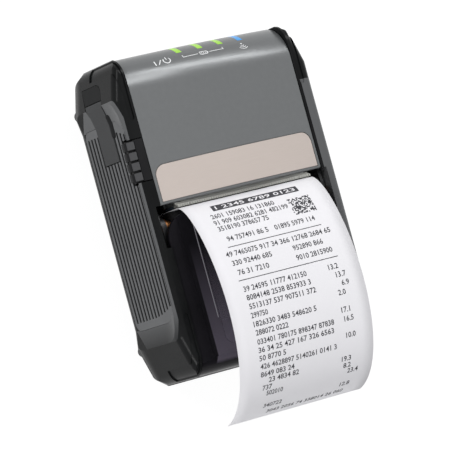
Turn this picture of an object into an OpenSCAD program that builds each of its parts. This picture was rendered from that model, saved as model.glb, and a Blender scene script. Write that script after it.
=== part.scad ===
// Palm-sized battery printer with a clamshell media cover.
// Origin: centre of the footprint on the table. +X right, +Y rear, +Z up.

/* [Housing] */
// Room from the paper's edge to the rail
side_room = 5.7; // [5.6:0.05:5.9]
// Width of a rail with the housing's side
rail_w = 6.8; // [6.6:0.1:7.2]
// Length from the front end to the rear end
shell_d = 117; // [115:0.5:121]
// Height of the crown of the top above the table
shell_h = 46.5; // [46:0.25:48.5]
// How far the side rails lie below the crown
rail_drop = 2.8; // [2.4:0.1:3.4]
// Wall thickness of the mouldings
wall = 1.8; // [1.5:0.1:2.2]
// Radius of the four corners seen from above
plan_r = 5; // [4:0.5:6]
// Where the sides start to draw in towards the ends
taper_y = 43.2; // [42.4:0.2:44]
// Angle at which the sides draw in
taper_a = 16; // [14:0.5:17]
// Radius of the top edge at both ends
end_r = 12.5; // [11.5:0.25:13]
// Radius of the rails' top edge at both ends
rail_r = 8; // [7.5:0.25:9.5]
// Radius of the bottom edge at both ends
heel_r = 6; // [4:0.5:7]
// Radius along the lower sides
belly_r = 15.4; // [14.6:0.1:15.6]
// Radius along the bottom at the four corners
corner_belly_r = 18; // [17:0.5:19]
// Radius along the outer top edge of the rails
lip_r = 3.6; // [2.6:0.1:3.8]
// Height of the joint between lower shell and upper frame
split_z = 12.4; // [12:0.1:12.6]
// How far the covers' crown rises between their edges
crown_rise = 3; // [2.5:0.1:3.5]
// Visible seam between two mouldings
seam = 0.25; // [0.2:0.05:0.3]

/* [Grips] */
// How far the side is scooped out for the fingers
scoop_depth = 1.7; // [1.2:0.1:2]
// Length over which the scoop runs out to the full width
ramp_d = 7.9; // [7:0.1:9]
// Half length of the rubber grip
grip_half = 37; // [36:0.5:38]
// Height of the top edge of the rubber grip
grip_top_z = 41; // [40:0.25:41.5]
// Thickness of the rubber grip
grip_t = 2; // [1.6:0.1:2.4]
// Number of grooves in a grip
groove_n = 12; // [8:1:12]
// Distance from groove to groove
groove_pitch = 2.3; // [2:0.05:2.3]
// Width of a groove
groove_w = 1.1; // [0.7:0.1:1.3]
// Depth of a groove
groove_depth = 0.9; // [0.5:0.1:1.2]
// Half length of the grooves in the lower half
groove_half = 34; // [32:0.2:34.4]

/* [Badge and lights] */
// Length of the badge plate along the printer
badge_d = 13.2; // [11:0.2:15]
// Thickness of the badge plate
badge_t = 0.5; // [0.4:0.1:0.8]
// Width of one light pipe
pipe_w = 2.2; // [2:0.1:3]
// Distance from light pipe to light pipe
pipe_pitch = 8.85; // [7:0.05:9]
// Place of the first light pipe across the printer
pipe_x0 = -9.7; // [-12:0.1:-9]

/* [Media] */
// Width of the paper
paper_w = 58; // [57:0.5:58]
// Thickness drawn for one layer of paper
paper_t = 0.2; // [0.15:0.05:0.25]
// Radius of the part-used paper roll
roll_r = 18.5; // [14:0.5:19]
// Radius of the largest roll the tray takes
tray_r = 20.1; // [19.8:0.1:20.4]
// Outer radius of the roll's core
core_r = 8; // [7:0.5:9]
// Thickness of the roll's core
core_t = 1.4; // [1:0.1:2]
// Place of the roll along the printer
roll_y = -30; // [-30.5:0.25:-29.5]
// Height of the roll's centre
roll_z = 24.3; // [24.1:0.1:24.5]

/* [Print line] */
// Radius of the rubber platen
platen_r = 5; // [4.6:0.1:5.2]
// Radius of the platen shaft
shaft_r = 1.5; // [1.3:0.1:1.7]
// Place of the platen along the printer
platen_y = -4; // [-4.3:0.1:-3.8]
// Height of the platen's centre
platen_z = 35.7; // [35.3:0.1:35.8]
// Outer radius of the platen bushes
bush_r = 2.6; // [2.3:0.1:2.8]
// Running clearance of a shaft in its bore
run_gap = 0.05; // [0.03:0.01:0.08]
// Gear module
gear_m = 0.7; // [0.65:0.01:0.72]
// Teeth of the platen gear
platen_teeth = 16; // [15:1:16]
// Teeth of the idler gear
idler_teeth = 22; // [20:1:22]
// Teeth of the motor pinion
pinion_teeth = 10; // [10:1:11]
// Width of the gears
gear_w = 2.2; // [1.8:0.1:2.3]
// Radius of the stepper motor
motor_r = 7; // [6:0.5:7]
// Length of the stepper motor
motor_len = 18; // [14:0.5:20]

/* [Cover and latch] */
// Place of the hinge pin along the printer, from the front end
hinge_in = 3.2; // [3:0.1:3.4]
// Height of the hinge pin
hinge_z = 16; // [15.6:0.1:16.4]
// Radius of the hinge barrel
barrel_r = 3; // [2.8:0.1:3]
// Radius of the hinge pin
pin_r = 1.2; // [1:0.1:1.4]
// Radius of the latch shaft
latch_r = 1.5; // [1.2:0.1:1.7]
// Place of the latch shaft along the printer
latch_y = 10; // [9.8:0.1:10.2]
// Height of the latch shaft
latch_z = 35.5; // [35.3:0.1:35.6]
// Length of the release lever along the printer
lever_d = 15; // [13:0.5:15]
// Number of ribs on the release lever
lever_ribs = 4; // [3:1:5]

/* [Ports and battery] */
// Height of the interface flap
flap_h = 10.5; // [9.5:0.25:11]
// Width of the battery pack
battery_w = 53; // [50:0.5:54]
// Height of the battery pack
battery_h = 13.9; // [13:0.1:14.1]
// Radius of the rubber feet
foot_r = 5; // [4:0.5:6]
// How far the rubber feet stand proud of the bottom
foot_h = 1.2; // [1:0.1:1.5]
// Radius of the belt clip's screw holes
clip_hole_r = 1.25; // [1:0.05:1.5]
// Distance between the belt clip's screw holes
clip_pitch = 20; // [16:1:24]

/* [Hidden] */
$fn = 64;

deck_half = paper_w / 2 + side_room;
side_x = deck_half + rail_w;
shell_w = 2 * side_x;
end_y = shell_d / 2;
rail_z = shell_h - rail_drop;
bay_half = deck_half + seam;
floor_z = foot_h + wall;
crown_r = (pow(deck_half, 2) + pow(crown_rise, 2)) / (2 * crown_rise);
crown_fn = 720;
eps = 0.01;
big = 200;

// Axes of the print line and the hinge
hinge_y = hinge_in - end_y;
swing_r = norm([platen_y - hinge_y, platen_z - hinge_z]) + bush_r + 0.25;
nip_y = platen_y + platen_r + 0.15;
free_edge_y = -0.5;
cover_front_y = 3.6;

// Gears on the right, inside the cover's cheek
gear_x = paper_w / 2 + 0.85;
gear_slack = 0.12;
platen_gear_r = gear_m * platen_teeth / 2;
idler_r = gear_m * idler_teeth / 2;
pinion_r = gear_m * pinion_teeth / 2;
idler_angle = -72.5;
idler_y = platen_y + (platen_gear_r + idler_r + gear_slack) * cos(idler_angle);
idler_z = platen_z + (platen_gear_r + idler_r + gear_slack) * sin(idler_angle);
pinion_angle = 5;
motor_y = idler_y + (idler_r + pinion_r + gear_slack) * cos(pinion_angle);
motor_z = idler_z + (idler_r + pinion_r + gear_slack) * sin(pinion_angle);

// Side features, measured along Y and Z
grip_z0 = split_z + 0.4;
pad_x = side_x - scoop_depth;
lever_y0 = 13.4;
lever_z0 = 38.4;
flap_z0 = 22.5;
flap_free_y = 23;
flap_neck_y = 41;
flap_hinge_y = 45.4;
flap_end_y = 51.6;

// Battery bay
battery_y0 = 20.6;
battery_z0 = floor_z + 0.2;
bay_gap = 0.4;

// Boards
board_z = 21.5;
board_t = 1.6;
board_y = [27, 53];

module block(x, y, z) {
    translate([x[0], y[0], z[0]]) cube([x[1] - x[0], y[1] - y[0], z[1] - z[0]]);
}

module rod_x(x, y, z, r) {
    translate([x[0], y, z]) rotate([0, 90, 0]) cylinder(r = r, h = x[1] - x[0]);
}

module rod_y(y, x, z, r) {
    translate([x, y[1], z]) rotate([90, 0, 0]) cylinder(r = r, h = y[1] - y[0]);
}

// Profiles drawn as (y, z) and (x, z), swept along the third axis
module along_x(w) { rotate([90, 0, 90]) linear_extrude(w, center = true) children(); }
module along_y(d) { rotate([90, 0, 0]) linear_extrude(d, center = true) children(); }

// Copies for the left and the right side
module both_sides() { children(); mirror([1, 0, 0]) children(); }
module both_ends() { children(); mirror([0, 1, 0]) children(); }

// Rectangle on a middle axis with its own radii for the low and the high corners
module rounded(w, z, r_low, r_high) {
    h = z[1] - z[0];
    r_max = max(r_low, r_high);
    translate([-w / 2 + r_max, z[0]]) square([w - 2 * r_max, h]);
    translate([-w / 2, z[0] + r_low]) square([w, h - r_low - r_high]);
    for (s = [-1, 1]) {
        translate([s * (w / 2 - r_low), z[0] + r_low]) circle(r_low);
        translate([s * (w / 2 - r_high), z[1] - r_high]) circle(r_high);
    }
    translate([-w / 2 + r_low, z[0]]) square([w - 2 * r_low, h / 2]);
    translate([-w / 2 + r_high, z[0] + h / 2]) square([w - 2 * r_high, h / 2]);
}

// Centre of a corner's rounding seen from above
corner_y = end_y - plan_r;
corner_x = side_x - (corner_y - taper_y) * tan(taper_a) - plan_r / cos(taper_a);

// The housing's outline from above, set in by t
module plan_block(t) {
    r = plan_r - t;
    side = side_x + taper_y * tan(taper_a) - t / cos(taper_a);
    linear_extrude(big, center = true) both_sides() both_ends() {
        polygon([[-eps, -eps], [side, -eps], [corner_x, corner_y] + r * [cos(taper_a), sin(taper_a)],
            [corner_x, corner_y + r], [-eps, corner_y + r]]);
        translate([corner_x, corner_y]) circle(r);
    }
}

// Section through the housing's right flank, with its outermost point at x = 0
module flank(t, belly) {
    z = [foot_h + t, rail_z - t];
    r = belly - t;
    lip = max(lip_r - t, 0.4);
    translate([-t, 0]) {
        translate([-big, z[0]]) square([big - r, z[1] - z[0]]);
        translate([-r, z[0] + r]) square([r, z[1] - z[0] - r - lip]);
        translate([-r, z[0] + r]) square([r - lip, z[1] - z[0] - r]);
        translate([-r, z[0] + r]) circle(r);
        translate([-lip, z[1] - lip]) circle(lip);
    }
}

// The flank drawn out along a line through (x, y), turned by a seen from above
module flank_body(t, x, y, a, belly) {
    translate([x, y, 0]) rotate(a) along_y(2 * big) flank(t, belly);
}

// Right side: straight, drawn in at both ends, round at the corners
module right_side(t) {
    corner_a = (90 + taper_a) / 2;
    corner_r = plan_r + 0.1;
    intersection() {
        flank_body(t, side_x, 0, 0, belly_r);
        flank_body(t, side_x, taper_y, taper_a, belly_r);
        flank_body(t, side_x, -taper_y, -taper_a, belly_r);
        flank_body(t, corner_x + corner_r * cos(corner_a), corner_y + corner_r * sin(corner_a), corner_a,
            corner_belly_r);
        flank_body(t, corner_x + corner_r * cos(corner_a), -corner_y - corner_r * sin(corner_a),
            -corner_a, corner_belly_r);
    }
}

// Dark housing, up to the rails, set in by t
module rail_body(t) {
    intersection() {
        plan_block(t);
        along_x(big) rounded(shell_d - 2 * t, [foot_h + t, rail_z - t], heel_r - t, rail_r - t);
        right_side(t);
        mirror([1, 0, 0]) right_side(t);
    }
}

// Crowned body under the two top covers, set in by t
module crown_body(t) {
    intersection() {
        plan_block(t);
        along_x(big) rounded(shell_d - 2 * t, [foot_h + t, shell_h - t], heel_r - t, end_r - t);
        along_y(big) translate([0, shell_h - crown_r]) circle(crown_r - t, $fn = crown_fn);
    }
}

// Finger scoop on the right side: a flat floor with sloping shoulders
scoop_floor = grip_half - 0.4;
module scoop() {
    out = 0.6;
    hull() {
        translate([pad_x, 0, 0]) rotate([90, 0, 90]) linear_extrude(0.01)
            scoop_outline(scoop_floor, grip_top_z + 0.6, 8);
        translate([side_x + out, 0, 0]) rotate([90, 0, 90]) linear_extrude(0.01)
            scoop_outline(scoop_floor + ramp_d * (scoop_depth + out) / scoop_depth, rail_z + 0.8, 11);
    }
}

// Upright arch, with its low end open towards the bottom
module scoop_outline(half, top, r) {
    translate([-half, -2]) square([2 * half, top - r + 2]);
    translate([-half + r, top - r - eps]) square([2 * (half - r), r + eps]);
    for (s = [-1, 1]) translate([s * (half - r), top - r]) circle(r, $fn = 32);
}

// Housing with both scoops
module scooped_body(t) {
    difference() {
        rail_body(t);
        both_sides() scoop();
    }
}

// Outline of the grip, as (y, z)
module grip_outline(gap) {
    rounded(2 * (grip_half - gap), [grip_z0 + gap, grip_top_z - gap], 3 - gap, 6 - gap);
}

// Outline of the flap and its anchor, as (y, z)
module flap_outline(gap, under = 0) {
    z1 = flap_z0 + flap_h;
    low = gap + under;
    translate([flap_free_y - gap, flap_z0 - gap])
        square([flap_neck_y - flap_free_y + 2 * gap, flap_h + 2 * gap]);
    polygon([[flap_neck_y - 4 * under, flap_z0 - gap], [flap_neck_y - 2 * under, flap_z0 - low],
        [flap_neck_y, flap_z0 - low], [flap_hinge_y, flap_z0 - 2 - low], [flap_end_y + gap, 18 - gap],
        [flap_end_y + gap, 28.6 + gap], [flap_end_y - 0.8 + gap, 30.8 + gap],
        [flap_end_y - 2.6 + gap, 32 + gap], [flap_neck_y, z1 + gap]]);
}

// Outline of the finger slot beside the flap
module slot_outline() {
    r = 1.15;
    z = flap_z0 + flap_h + r - 0.6;
    translate([31.2 + r, z - r]) square([8.8 - 2 * r, 2 * r]);
    for (y = [31.2 + r, 40 - r]) translate([y, z]) circle(r);
}

// Outline of the lever's window, as (y, z)
module lever_outline(gap) {
    translate([lever_y0 - gap, lever_z0 - gap]) square([lever_d + 2 * gap, 10]);
}

// Sunk channels over the rails' ends, with a narrow ridge left beside the covers
module channels() {
    x = [deck_half + 1.1, deck_half + 3.1];
    y = 36.3;
    difference() {
        both_sides() both_ends() translate([0, 0, 24]) linear_extrude(40) {
            polygon([[x[0], y], [x[1], y], [x[1], 44], [x[1] + 0.5, 50], [x[1] + 1.4, end_y + 1],
                [x[0], end_y + 1]]);
            translate([(x[0] + x[1]) / 2, y]) circle(1);
        }
        rail_body(0.5);
    }
}

// Places of the four screws from the bottom
screw_x = side_x - 5;
screw_y = end_y - 14.5;
screw_head_z = 8.4;
module at_screws() {
    for (sx = [-1, 1], sy = [-1, 1]) translate([sx * screw_x, sy * screw_y, 0]) children();
}

module at_feet() {
    for (sx = [-1, 1], sy = [-1, 1]) translate([sx * (side_x - 16.5), sy * (end_y - 15.5), 0]) children();
}

// Inside of the lower shell, short of the ends so that the corners keep their wall
module cavity() {
    intersection() {
        plan_block(wall);
        along_x(big) rounded(shell_d - 2 * (wall + 5), [floor_z, rail_z], heel_r - wall, rail_r);
        both_sides() intersection() {
            flank_body(wall, side_x, taper_y, taper_a, belly_r);
            flank_body(wall, side_x, -taper_y, -taper_a, belly_r);
            flank_body(wall, side_x, 0, 0, belly_r);
            block([-1, big], [-big, big], [0, big]);
        }
    }
}

// Hinge knuckles of the lower shell, outside the cover's barrel
knuckle_x = [deck_half - 6.7, deck_half - 3.7];

module lower_shell() {
    color("#26282b") difference() {
        union() {
            difference() {
                intersection() {
                    rail_body(0);
                    block([-big, big], [-big, big], [0, split_z]);
                }
                cavity();
                // clear of the cover's front skin when it swings down
                block([-knuckle_x[0], knuckle_x[0]], [-end_y - 1, hinge_y + barrel_r],
                    [hinge_z - barrel_r - 0.6, split_z + 1]);
                rod_x([-knuckle_x[0], knuckle_x[0]], hinge_y, hinge_z, barrel_r + 0.4);
            }
            intersection() {
                union() {
                    // columns for the housing screws
                    at_screws() cylinder(r = 3.1, h = split_z);
                    // knuckles with their webs down to the floor
                    both_sides() {
                        rod_x(knuckle_x, hinge_y, hinge_z, barrel_r - 0.3);
                        block(knuckle_x, [hinge_y - 1.4, hinge_y + 1.4], [floor_z - 0.5, hinge_z]);
                    }
                }
                union() {
                    rail_body(wall / 2);
                    block([-deck_half + 0.7, deck_half - 0.7], [-end_y, 0], [split_z - 2, hinge_z + barrel_r]);
                }
            }
            // bosses for the belt clip's screws
            for (s = [-1, 1]) translate([s * clip_pitch / 2, -2, foot_h]) cylinder(r = 3.2, h = 6);
            // posts under the main board
            for (sx = [-1, 1], y = [board_y[0] + 2.5, board_y[1] - 2.5])
                translate([sx * post_x, y, floor_z - 0.4]) cylinder(r = 2, h = board_z - floor_z + 0.4);
        }
        // rear mouth of the battery bay
        block([-battery_w / 2 - bay_gap, battery_w / 2 + bay_gap], [end_y - 13.5, end_y + 1],
            [floor_z, split_z + 1]);
        both_sides() rod_x([knuckle_x[0] - 1, knuckle_x[1] + 0.6], hinge_y, hinge_z, pin_r + run_gap);
        at_screws() {
            translate([0, 0, -1]) cylinder(r = 2.2, h = screw_head_z + 1);
            cylinder(r = 1.2, h = split_z + 1);
        }
        for (s = [-1, 1]) translate([s * clip_pitch / 2, -2, foot_h - 1]) cylinder(r = clip_hole_r, h = 6);
        at_feet() translate([0, 0, -1]) cylinder(r = foot_r + 0.1, h = 1 + foot_h + 0.8);
    }
}

module upper_frame() {
    color("#222427") difference() {
        intersection() {
            scooped_body(0);
            block([-big, big], [-big, big], [split_z, big]);
        }
        // opening between the rails
        difference() {
            block([-bay_half, bay_half], [-big, end_y - wall], [0, big]);
            // ledges that carry the grey cover
            both_sides() block([deck_half - 4, bay_half + 1], [14, end_y - 6], [35.6, 37.9]);
        }
        // rear window of the grey cover, front window of the media cover
        block([-bay_half, bay_half], [0, big], [cover_skirt_z - 0.15, big]);
        // battery mouth
        block([-battery_w / 2 - bay_gap, battery_w / 2 + bay_gap], [end_y - 5, end_y + 1],
            [0, battery_z0 + battery_h + bay_gap]);
        // grip recesses
        both_sides() intersection() {
            translate([side_x, 0, 0]) along_x(2 * (scoop_depth + grip_t + 0.1)) grip_outline(0);
            block([0, side_x], [-big, big], [0, big]);
        }
        channels();
        // flap recess, sockets' well and finger slot
        translate([-side_x, 0, 0]) along_x(2 * (scoop_depth + grip_t)) flap_outline(0.15, 0.3);
        block([-big, -bay_half + 1], port_y, port_z);
        translate([-side_x, 0, 0]) along_x(2 * (scoop_depth + grip_t + 0.6)) slot_outline();
        // release lever's window
        translate([-side_x - 1, 0, 0]) along_x(2 * (side_x + 1 - deck_half)) lever_outline(0.35);
        latch_pockets();
        power_button_hole();
        battery_latch_slot();
        at_screws() cylinder(r = 0.95, h = split_z + 9);
    }
}

// Well behind the flap for the two sockets
port_y = [26, 41.5];
port_z = [22.9, 31.6];

// Skirt of the grey cover on the rear face
cover_skirt_z = 30;

// Pockets for the latch arms and the platen bushes, open to the top at the print line
latch_x = [deck_half + 0.3, deck_half + 1.6];
module latch_pockets() {
    both_sides() {
        block([bay_half - 1, latch_x[1] + 0.7], [-8.2, 13.1], [31, 41.4]);
        block([bay_half - 1, latch_x[1] + 0.7], [-11.6, cover_front_y], [36, big]);
    }
    block([-latch_x[1] - 1.3, -bay_half + 1], [11.6, 16.2], [31.6, lever_z0]);
}

button_x = -12;
button_z = 24;
button_w = 9;
button_h = 5;
module pill(w, h, gap) {
    r = h / 2 + gap;
    square([w - h, 2 * r], center = true);
    for (s = [-1, 1]) translate([s * (w - h) / 2, 0]) circle(r);
}
module power_button_hole() {
    translate([button_x, end_y, button_z]) along_y(4 * wall) pill(button_w, button_h, 0.2);
}

battery_latch_x = 19;
module battery_latch_slot() {
    block([battery_latch_x - 4.6, battery_latch_x + 4.6], [end_y - 5, end_y + 1],
        [battery_z0 + battery_h, 25.2]);
}

// Ribbed rubber grip for the right side, without the left side's cut-outs
module grip_blank() {
    difference() {
        intersection() {
            translate([pad_x - grip_t, 0, 0]) rotate([90, 0, 90]) linear_extrude(grip_t) grip_outline(0.1);
            rail_body(0);
        }
        for (i = [0 : groove_n - 1]) {
            z = grip_z0 + 1.9 + i * groove_pitch;
            u = (i - (groove_n - 1) / 2) / (groove_n / 2);
            half = groove_half - 3 * pow(max(u, 0), 2);
            rod_y([-half, half], pad_x, z, groove_w / 2);
            block([pad_x - groove_depth + groove_w / 2, pad_x + 1], [-half, half],
                [z - groove_w / 2, z + groove_w / 2]);
            rod_y([-half, half], pad_x - groove_depth + groove_w / 2, z, groove_w / 2);
        }
    }
}

module grip_right() { color("#5b5d60") grip_blank(); }

module grip_left() {
    color("#5b5d60") difference() {
        mirror([1, 0, 0]) grip_blank();
        translate([-side_x, 0, 0]) along_x(20) flap_outline(0.3);
        translate([-side_x, 0, 0]) along_x(20) slot_outline();
        translate([-side_x, 0, 0]) along_x(20) lever_outline(0.8);
    }
}

// Rubber flap over the sockets, cut from the housing's own surface
module flap_solid() {
    intersection() {
        difference() {
            rail_body(0);
            mirror([1, 0, 0]) translate([0.35, 0, 0]) scoop();
        }
        translate([-side_x, 0, 0]) along_x(2 * (scoop_depth + grip_t - 0.3)) flap_outline(0);
    }
}

module interface_flap() {
    color("#46474a") difference() {
        intersection() {
            flap_solid();
            block([-big, 0], [0, flap_hinge_y], [0, big]);
        }
        translate([-side_x, 0, 0]) along_x(20) slot_outline();
        // thin below the neck, so that the flare swings clear of its seat
        linear_extrude(flap_z0 - 0.2)
            polygon([[-side_x + 2.1, flap_neck_y - 1], [-side_x + 1.1, flap_hinge_y + 1],
                [0, flap_hinge_y + 1], [0, flap_neck_y - 1]]);
    }
}

module flap_anchor() {
    color("#3a3b3e") intersection() {
        flap_solid();
        block([-big, 0], [flap_hinge_y + 0.3, big], [0, big]);
    }
}

// Release lever: a smooth leaf on top with ribs down its outer edge
module release_lever() {
    y = [lever_y0, lever_y0 + lever_d];
    pitch = lever_d / lever_ribs;
    leaf_x = deck_half + 3.8;
    color("#1d1e20") {
        intersection() {
            rail_body(0.05);
            block([-leaf_x, -deck_half - 0.45], y, [lever_z0 + 1.6, big]);
        }
        // ribs on a deeper base
        intersection() {
            rail_body(1.4);
            block([-side_x, -leaf_x + 0.4], y, [lever_z0 + 0.7, big]);
        }
        intersection() {
            rail_body(0.15);
            for (i = [0 : lever_ribs - 1])
                block([-side_x, -leaf_x - 0.15], [y[0] + (i + 0.11) * pitch, y[0] + (i + 0.89) * pitch],
                    [lever_z0 + 0.7, big]);
        }
        // tongue that presses the latch tail
        block([-latch_x[1] - 0.9, -latch_x[1] + 0.2], [y[0] + 0.4, y[0] + 2.2], [35.7, lever_z0 + 3]);
    }
}

// Grey cover: a crowned lid that wraps over the rear end
module top_cover() {
    skirt_y = 14.2;
    color("#77797b") difference() {
        union() {
            difference() {
                intersection() {
                    crown_body(0);
                    union() {
                        block([-deck_half, deck_half], [cover_front_y, big], [42.9, big]);
                        block([-deck_half, deck_half], [end_y - end_r - 2, big], [cover_skirt_z, big]);
                        cover_flanges(skirt_y);
                    }
                }
                difference() {
                    crown_body(wall);
                    cover_flanges(skirt_y);
                }
            }
            intersection() {
                crown_body(wall / 2);
                light_frame() both_sides()
                    block([18, 21], [light_board_r + board_t, end_r], [-2, 2]);
            }
        }
        badge_recess(0.1);
        for (i = [0 : 3]) light_slot(i, 0.05);
    }
}
module cover_flanges(y) {
    both_sides() block([deck_half - 1.6, deck_half], [y, big], [38.1, big]);
}

// Frame at the middle of the rear rounding, with Y pointing out of it
module light_frame() {
    translate([0, end_y - end_r, shell_h - end_r]) rotate([45, 0, 0]) children();
}

// The badge sits in a shallow recess that follows the crown
badge_y0 = 4.6;
badge_w = 2 * (deck_half - 2.2);
module badge_recess(gap) {
    difference() {
        badge_blank(gap);
        crown_body(badge_t + gap);
    }
}
module badge_blank(gap) {
    r = 4;
    y = [badge_y0 - gap, badge_y0 + badge_d + gap];
    w = badge_w / 2 + gap;
    translate([0, 0, 40]) linear_extrude(10) {
        translate([-w, y[0]]) square([2 * w, badge_d + 2 * gap - r]);
        translate([-w + r, y[0]]) square([2 * (w - r), badge_d + 2 * gap]);
        for (s = [-1, 1]) translate([s * (w - r), y[1] - r]) circle(r);
    }
}
module badge_plate() {
    color("#cdbfb7") difference() {
        intersection() {
            badge_blank(0);
            crown_body(0);
        }
        crown_body(badge_t);
    }
}

// Light pipes follow the rear rounding
light_board_r = 6.6;
module light_slot(i, gap) {
    w = pipe_w / 2 + gap;
    x = pipe_x0 + i * pipe_pitch;
    block([x - w, x + w], [end_y - 2.9 - gap, big], [36 - gap, big]);
}
module light_pipe(i) {
    difference() {
        intersection() {
            crown_body(0);
            light_slot(i, 0);
        }
        crown_body(wall + 1.4);
    }
}
module light_pipes_green() { color("#96cd32") for (i = [0 : 2]) light_pipe(i); }
module light_pipe_blue() { color("#2896d7") light_pipe(3); }

module light_board() {
    color("#1d5b35") light_frame() {
        block([-22, 22], [light_board_r, light_board_r + board_t - 0.02], [-3, 3]);
        for (i = [0 : 3]) {
            x = pipe_x0 + i * pipe_pitch;
            block([x - 1, x + 1], [light_board_r + board_t - 0.03, light_board_r + board_t + 0.4],
                [-0.8, 0.8]);
        }
    }
}

module tear_bar() {
    teeth = 61;
    pitch = (2 * tear_half) / teeth;
    color("#c9ccce") {
        // toothed blade
        translate([0, tear_y[0] + 0.4, 0]) along_y(0.8) polygon(concat(
            [[tear_half, 41.9], [-tear_half, 41.9]],
            [for (i = [0 : 2 * teeth]) [-tear_half + i * pitch / 2, tear_z - (i % 2) * 0.5]]));
        block([-tear_half, tear_half], [tear_y[0] + 0.8, tear_y[1]], [42.4, tear_z - 0.6]);
        // foot screwed to the head bracket
        block([-tear_half + 3, tear_half - 3], [tear_y[1] - eps, 8.6], [42.05, 42.65]);
    }
}
tear_half = paper_w / 2 + 1.5;
tear_y = [nip_y + 0.45, 3.35];
tear_z = 44.5;

// Pressed steel bracket behind the head, with ears for the head pivot and the latch shaft
module head_bracket() {
    ear_x = [head_half + 0.4, head_half + 1.2];
    color("#a9acae") difference() {
        union() {
            block([-ear_x[1], ear_x[1]], bracket_y, [33.2, 42]);
            block([-bay_half, bay_half], bracket_y, [33.2, 37.7]);
            both_sides() {
                block(ear_x, [2.6, bracket_y[1]], [28.2, 36]);
                block([bay_half - 1.2, bay_half], [bracket_y[0], 12.6], [32.8, 37.9]);
            }
        }
        rod_x([-bay_half - 1, bay_half + 1], latch_y, latch_z, latch_r + run_gap);
        both_sides() rod_x([ear_x[0] - 0.2, ear_x[1] + 0.2], head_pivot[0], head_pivot[1], 1 + run_gap);
    }
}
head_half = paper_w / 2 - 0.8;
head_y = nip_y + 0.4;
head_t = 0.8;
sink_t = 2.5;
head_pivot = [3.7, 29.8];
bracket_y = [6.6, 7.8];
spring_y = [head_y + head_t + sink_t + 0.06, bracket_y[0] - 0.02];

module thermal_head() {
    color("#3d4a52") {
        block([-head_half, head_half], [head_y, head_y + head_t], [platen_z - 5, platen_z + 5]);
        block([-head_half + 1.2, head_half - 1.2], [head_y - 0.08, head_y + eps], [platen_z - 0.3, platen_z + 0.3]);
    }
}

module heat_sink() {
    y = [head_y + head_t, head_y + head_t + sink_t];
    color("#b9bcbe") difference() {
        union() {
            block([-head_half, head_half], y, [28.7, 41.4]);
            rod_x([-head_half - 1.1, head_half + 1.1], head_pivot[0], head_pivot[1], 1);
        }
        // fins between the two spring seats
        for (x = [-9 : 3 : 9]) block([x - 0.7, x + 0.7], [y[1] - 1.2, y[1] + 1], [32, 42]);
    }
}

module head_springs() {
    color("#cfd2d4") both_sides() translate([head_half - 10.2, 0, 0]) difference() {
        rod_y(spring_y, 0, 38.4, 2);
        rod_y([spring_y[0] - 1, spring_y[1] + 1], 0, 38.4, 1.4);
    }
}

// Band of thickness t along a list of (y, z) points, between two X values
function direction(p, i) = let(a = p[max(i - 1, 0)], b = p[min(i + 1, len(p) - 1)]) (b - a) / norm(b - a);
function side_of(p, t) = [for (i = [0 : len(p) - 1]) let(d = direction(p, i)) p[i] + t * [-d[1], d[0]]];
function backwards(p) = [for (i = [len(p) - 1 : -1 : 0]) p[i]];
module band(p, t, x) {
    translate([(x[0] + x[1]) / 2, 0, 0]) along_x(x[1] - x[0])
        polygon(concat(side_of(p, t / 2), backwards(side_of(p, -t / 2))));
}

module head_flex_cable() {
    color("#c98b3a")
        band([[3.6, 28.4], [3.9, 22], [6, 19.6], [24, 19.4], [26, 20.2], [26.6, 22]], 0.3, [-21, -1]);
}

// Bracket that carries the motor inboard of the gears and the idler's axle outboard
module gear_bracket() {
    inner = [gear_x - 1.55, gear_x - 0.55];
    outer = [gear_x + gear_w + 0.3, gear_x + gear_w + 1.3];
    color("#9ea1a3") difference() {
        union() {
            block(inner, [5, 19.6], [floor_z + 0.55, 28]);
            block(outer, [-4, 19.6], [14, 30.2]);
            block([inner[0], outer[1]], [18.4, 19.6], [14, 28]);
            rod_x([inner[1], outer[0] + eps], idler_y, idler_z, 1.2);
        }
        rod_x([inner[0] - 1, inner[1] + 1], motor_y, motor_z, 2.2);
    }
}

module stepper_motor() {
    x1 = gear_x - 1.57;
    color("#8b8e90") {
        rod_x([x1 - motor_len, x1], motor_y, motor_z, motor_r);
        rod_x([x1 - motor_len - 1, x1 - motor_len + eps], motor_y, motor_z, 2.5);
        block([x1 - motor_len + 3, x1 - motor_len + 10], [motor_y - 2, motor_y + 4], [motor_z - motor_r - 0.6,
            motor_z - motor_r + 2]);
    }
}

// Spur gear drawn in the (y, z) plane, one tooth on the +Y axis turned by phase
module gear(teeth, phase, x, y, z, bore) {
    r = gear_m * teeth / 2;
    tip = r + 0.82 * gear_m;
    root = r - 1.1 * gear_m;
    step = 360 / teeth;
    difference() {
        translate([(x[0] + x[1]) / 2, y, z]) along_x(x[1] - x[0]) rotate(phase)
            polygon([for (i = [0 : teeth - 1], k = gear_flank)
                (k[1] < 0 ? root : k[1] > 0 ? tip : r) * [cos((i + k[0]) * step), sin((i + k[0]) * step)]]);
        rod_x([x[0] - 1, x[1] + 1], y, z, bore);
    }
}
// Share of one tooth pitch, and -1 at the root, 0 on the pitch circle, 1 at the tip
gear_flank = [[-0.32, -1], [-0.21, 0], [-0.095, 1], [0.095, 1], [0.21, 0], [0.32, -1]];
gear_span = [gear_x, gear_x + gear_w];

// Phases that put a tooth of one gear in the gap of the next
function meshed(from_phase, from_teeth, to_teeth, angle) =
    180 + angle + (from_teeth / to_teeth) * (angle - from_phase) + 180 / to_teeth;
platen_phase = 0;
idler_phase = meshed(platen_phase, platen_teeth, idler_teeth, idler_angle);
pinion_phase = meshed(idler_phase, idler_teeth, pinion_teeth, pinion_angle);

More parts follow.
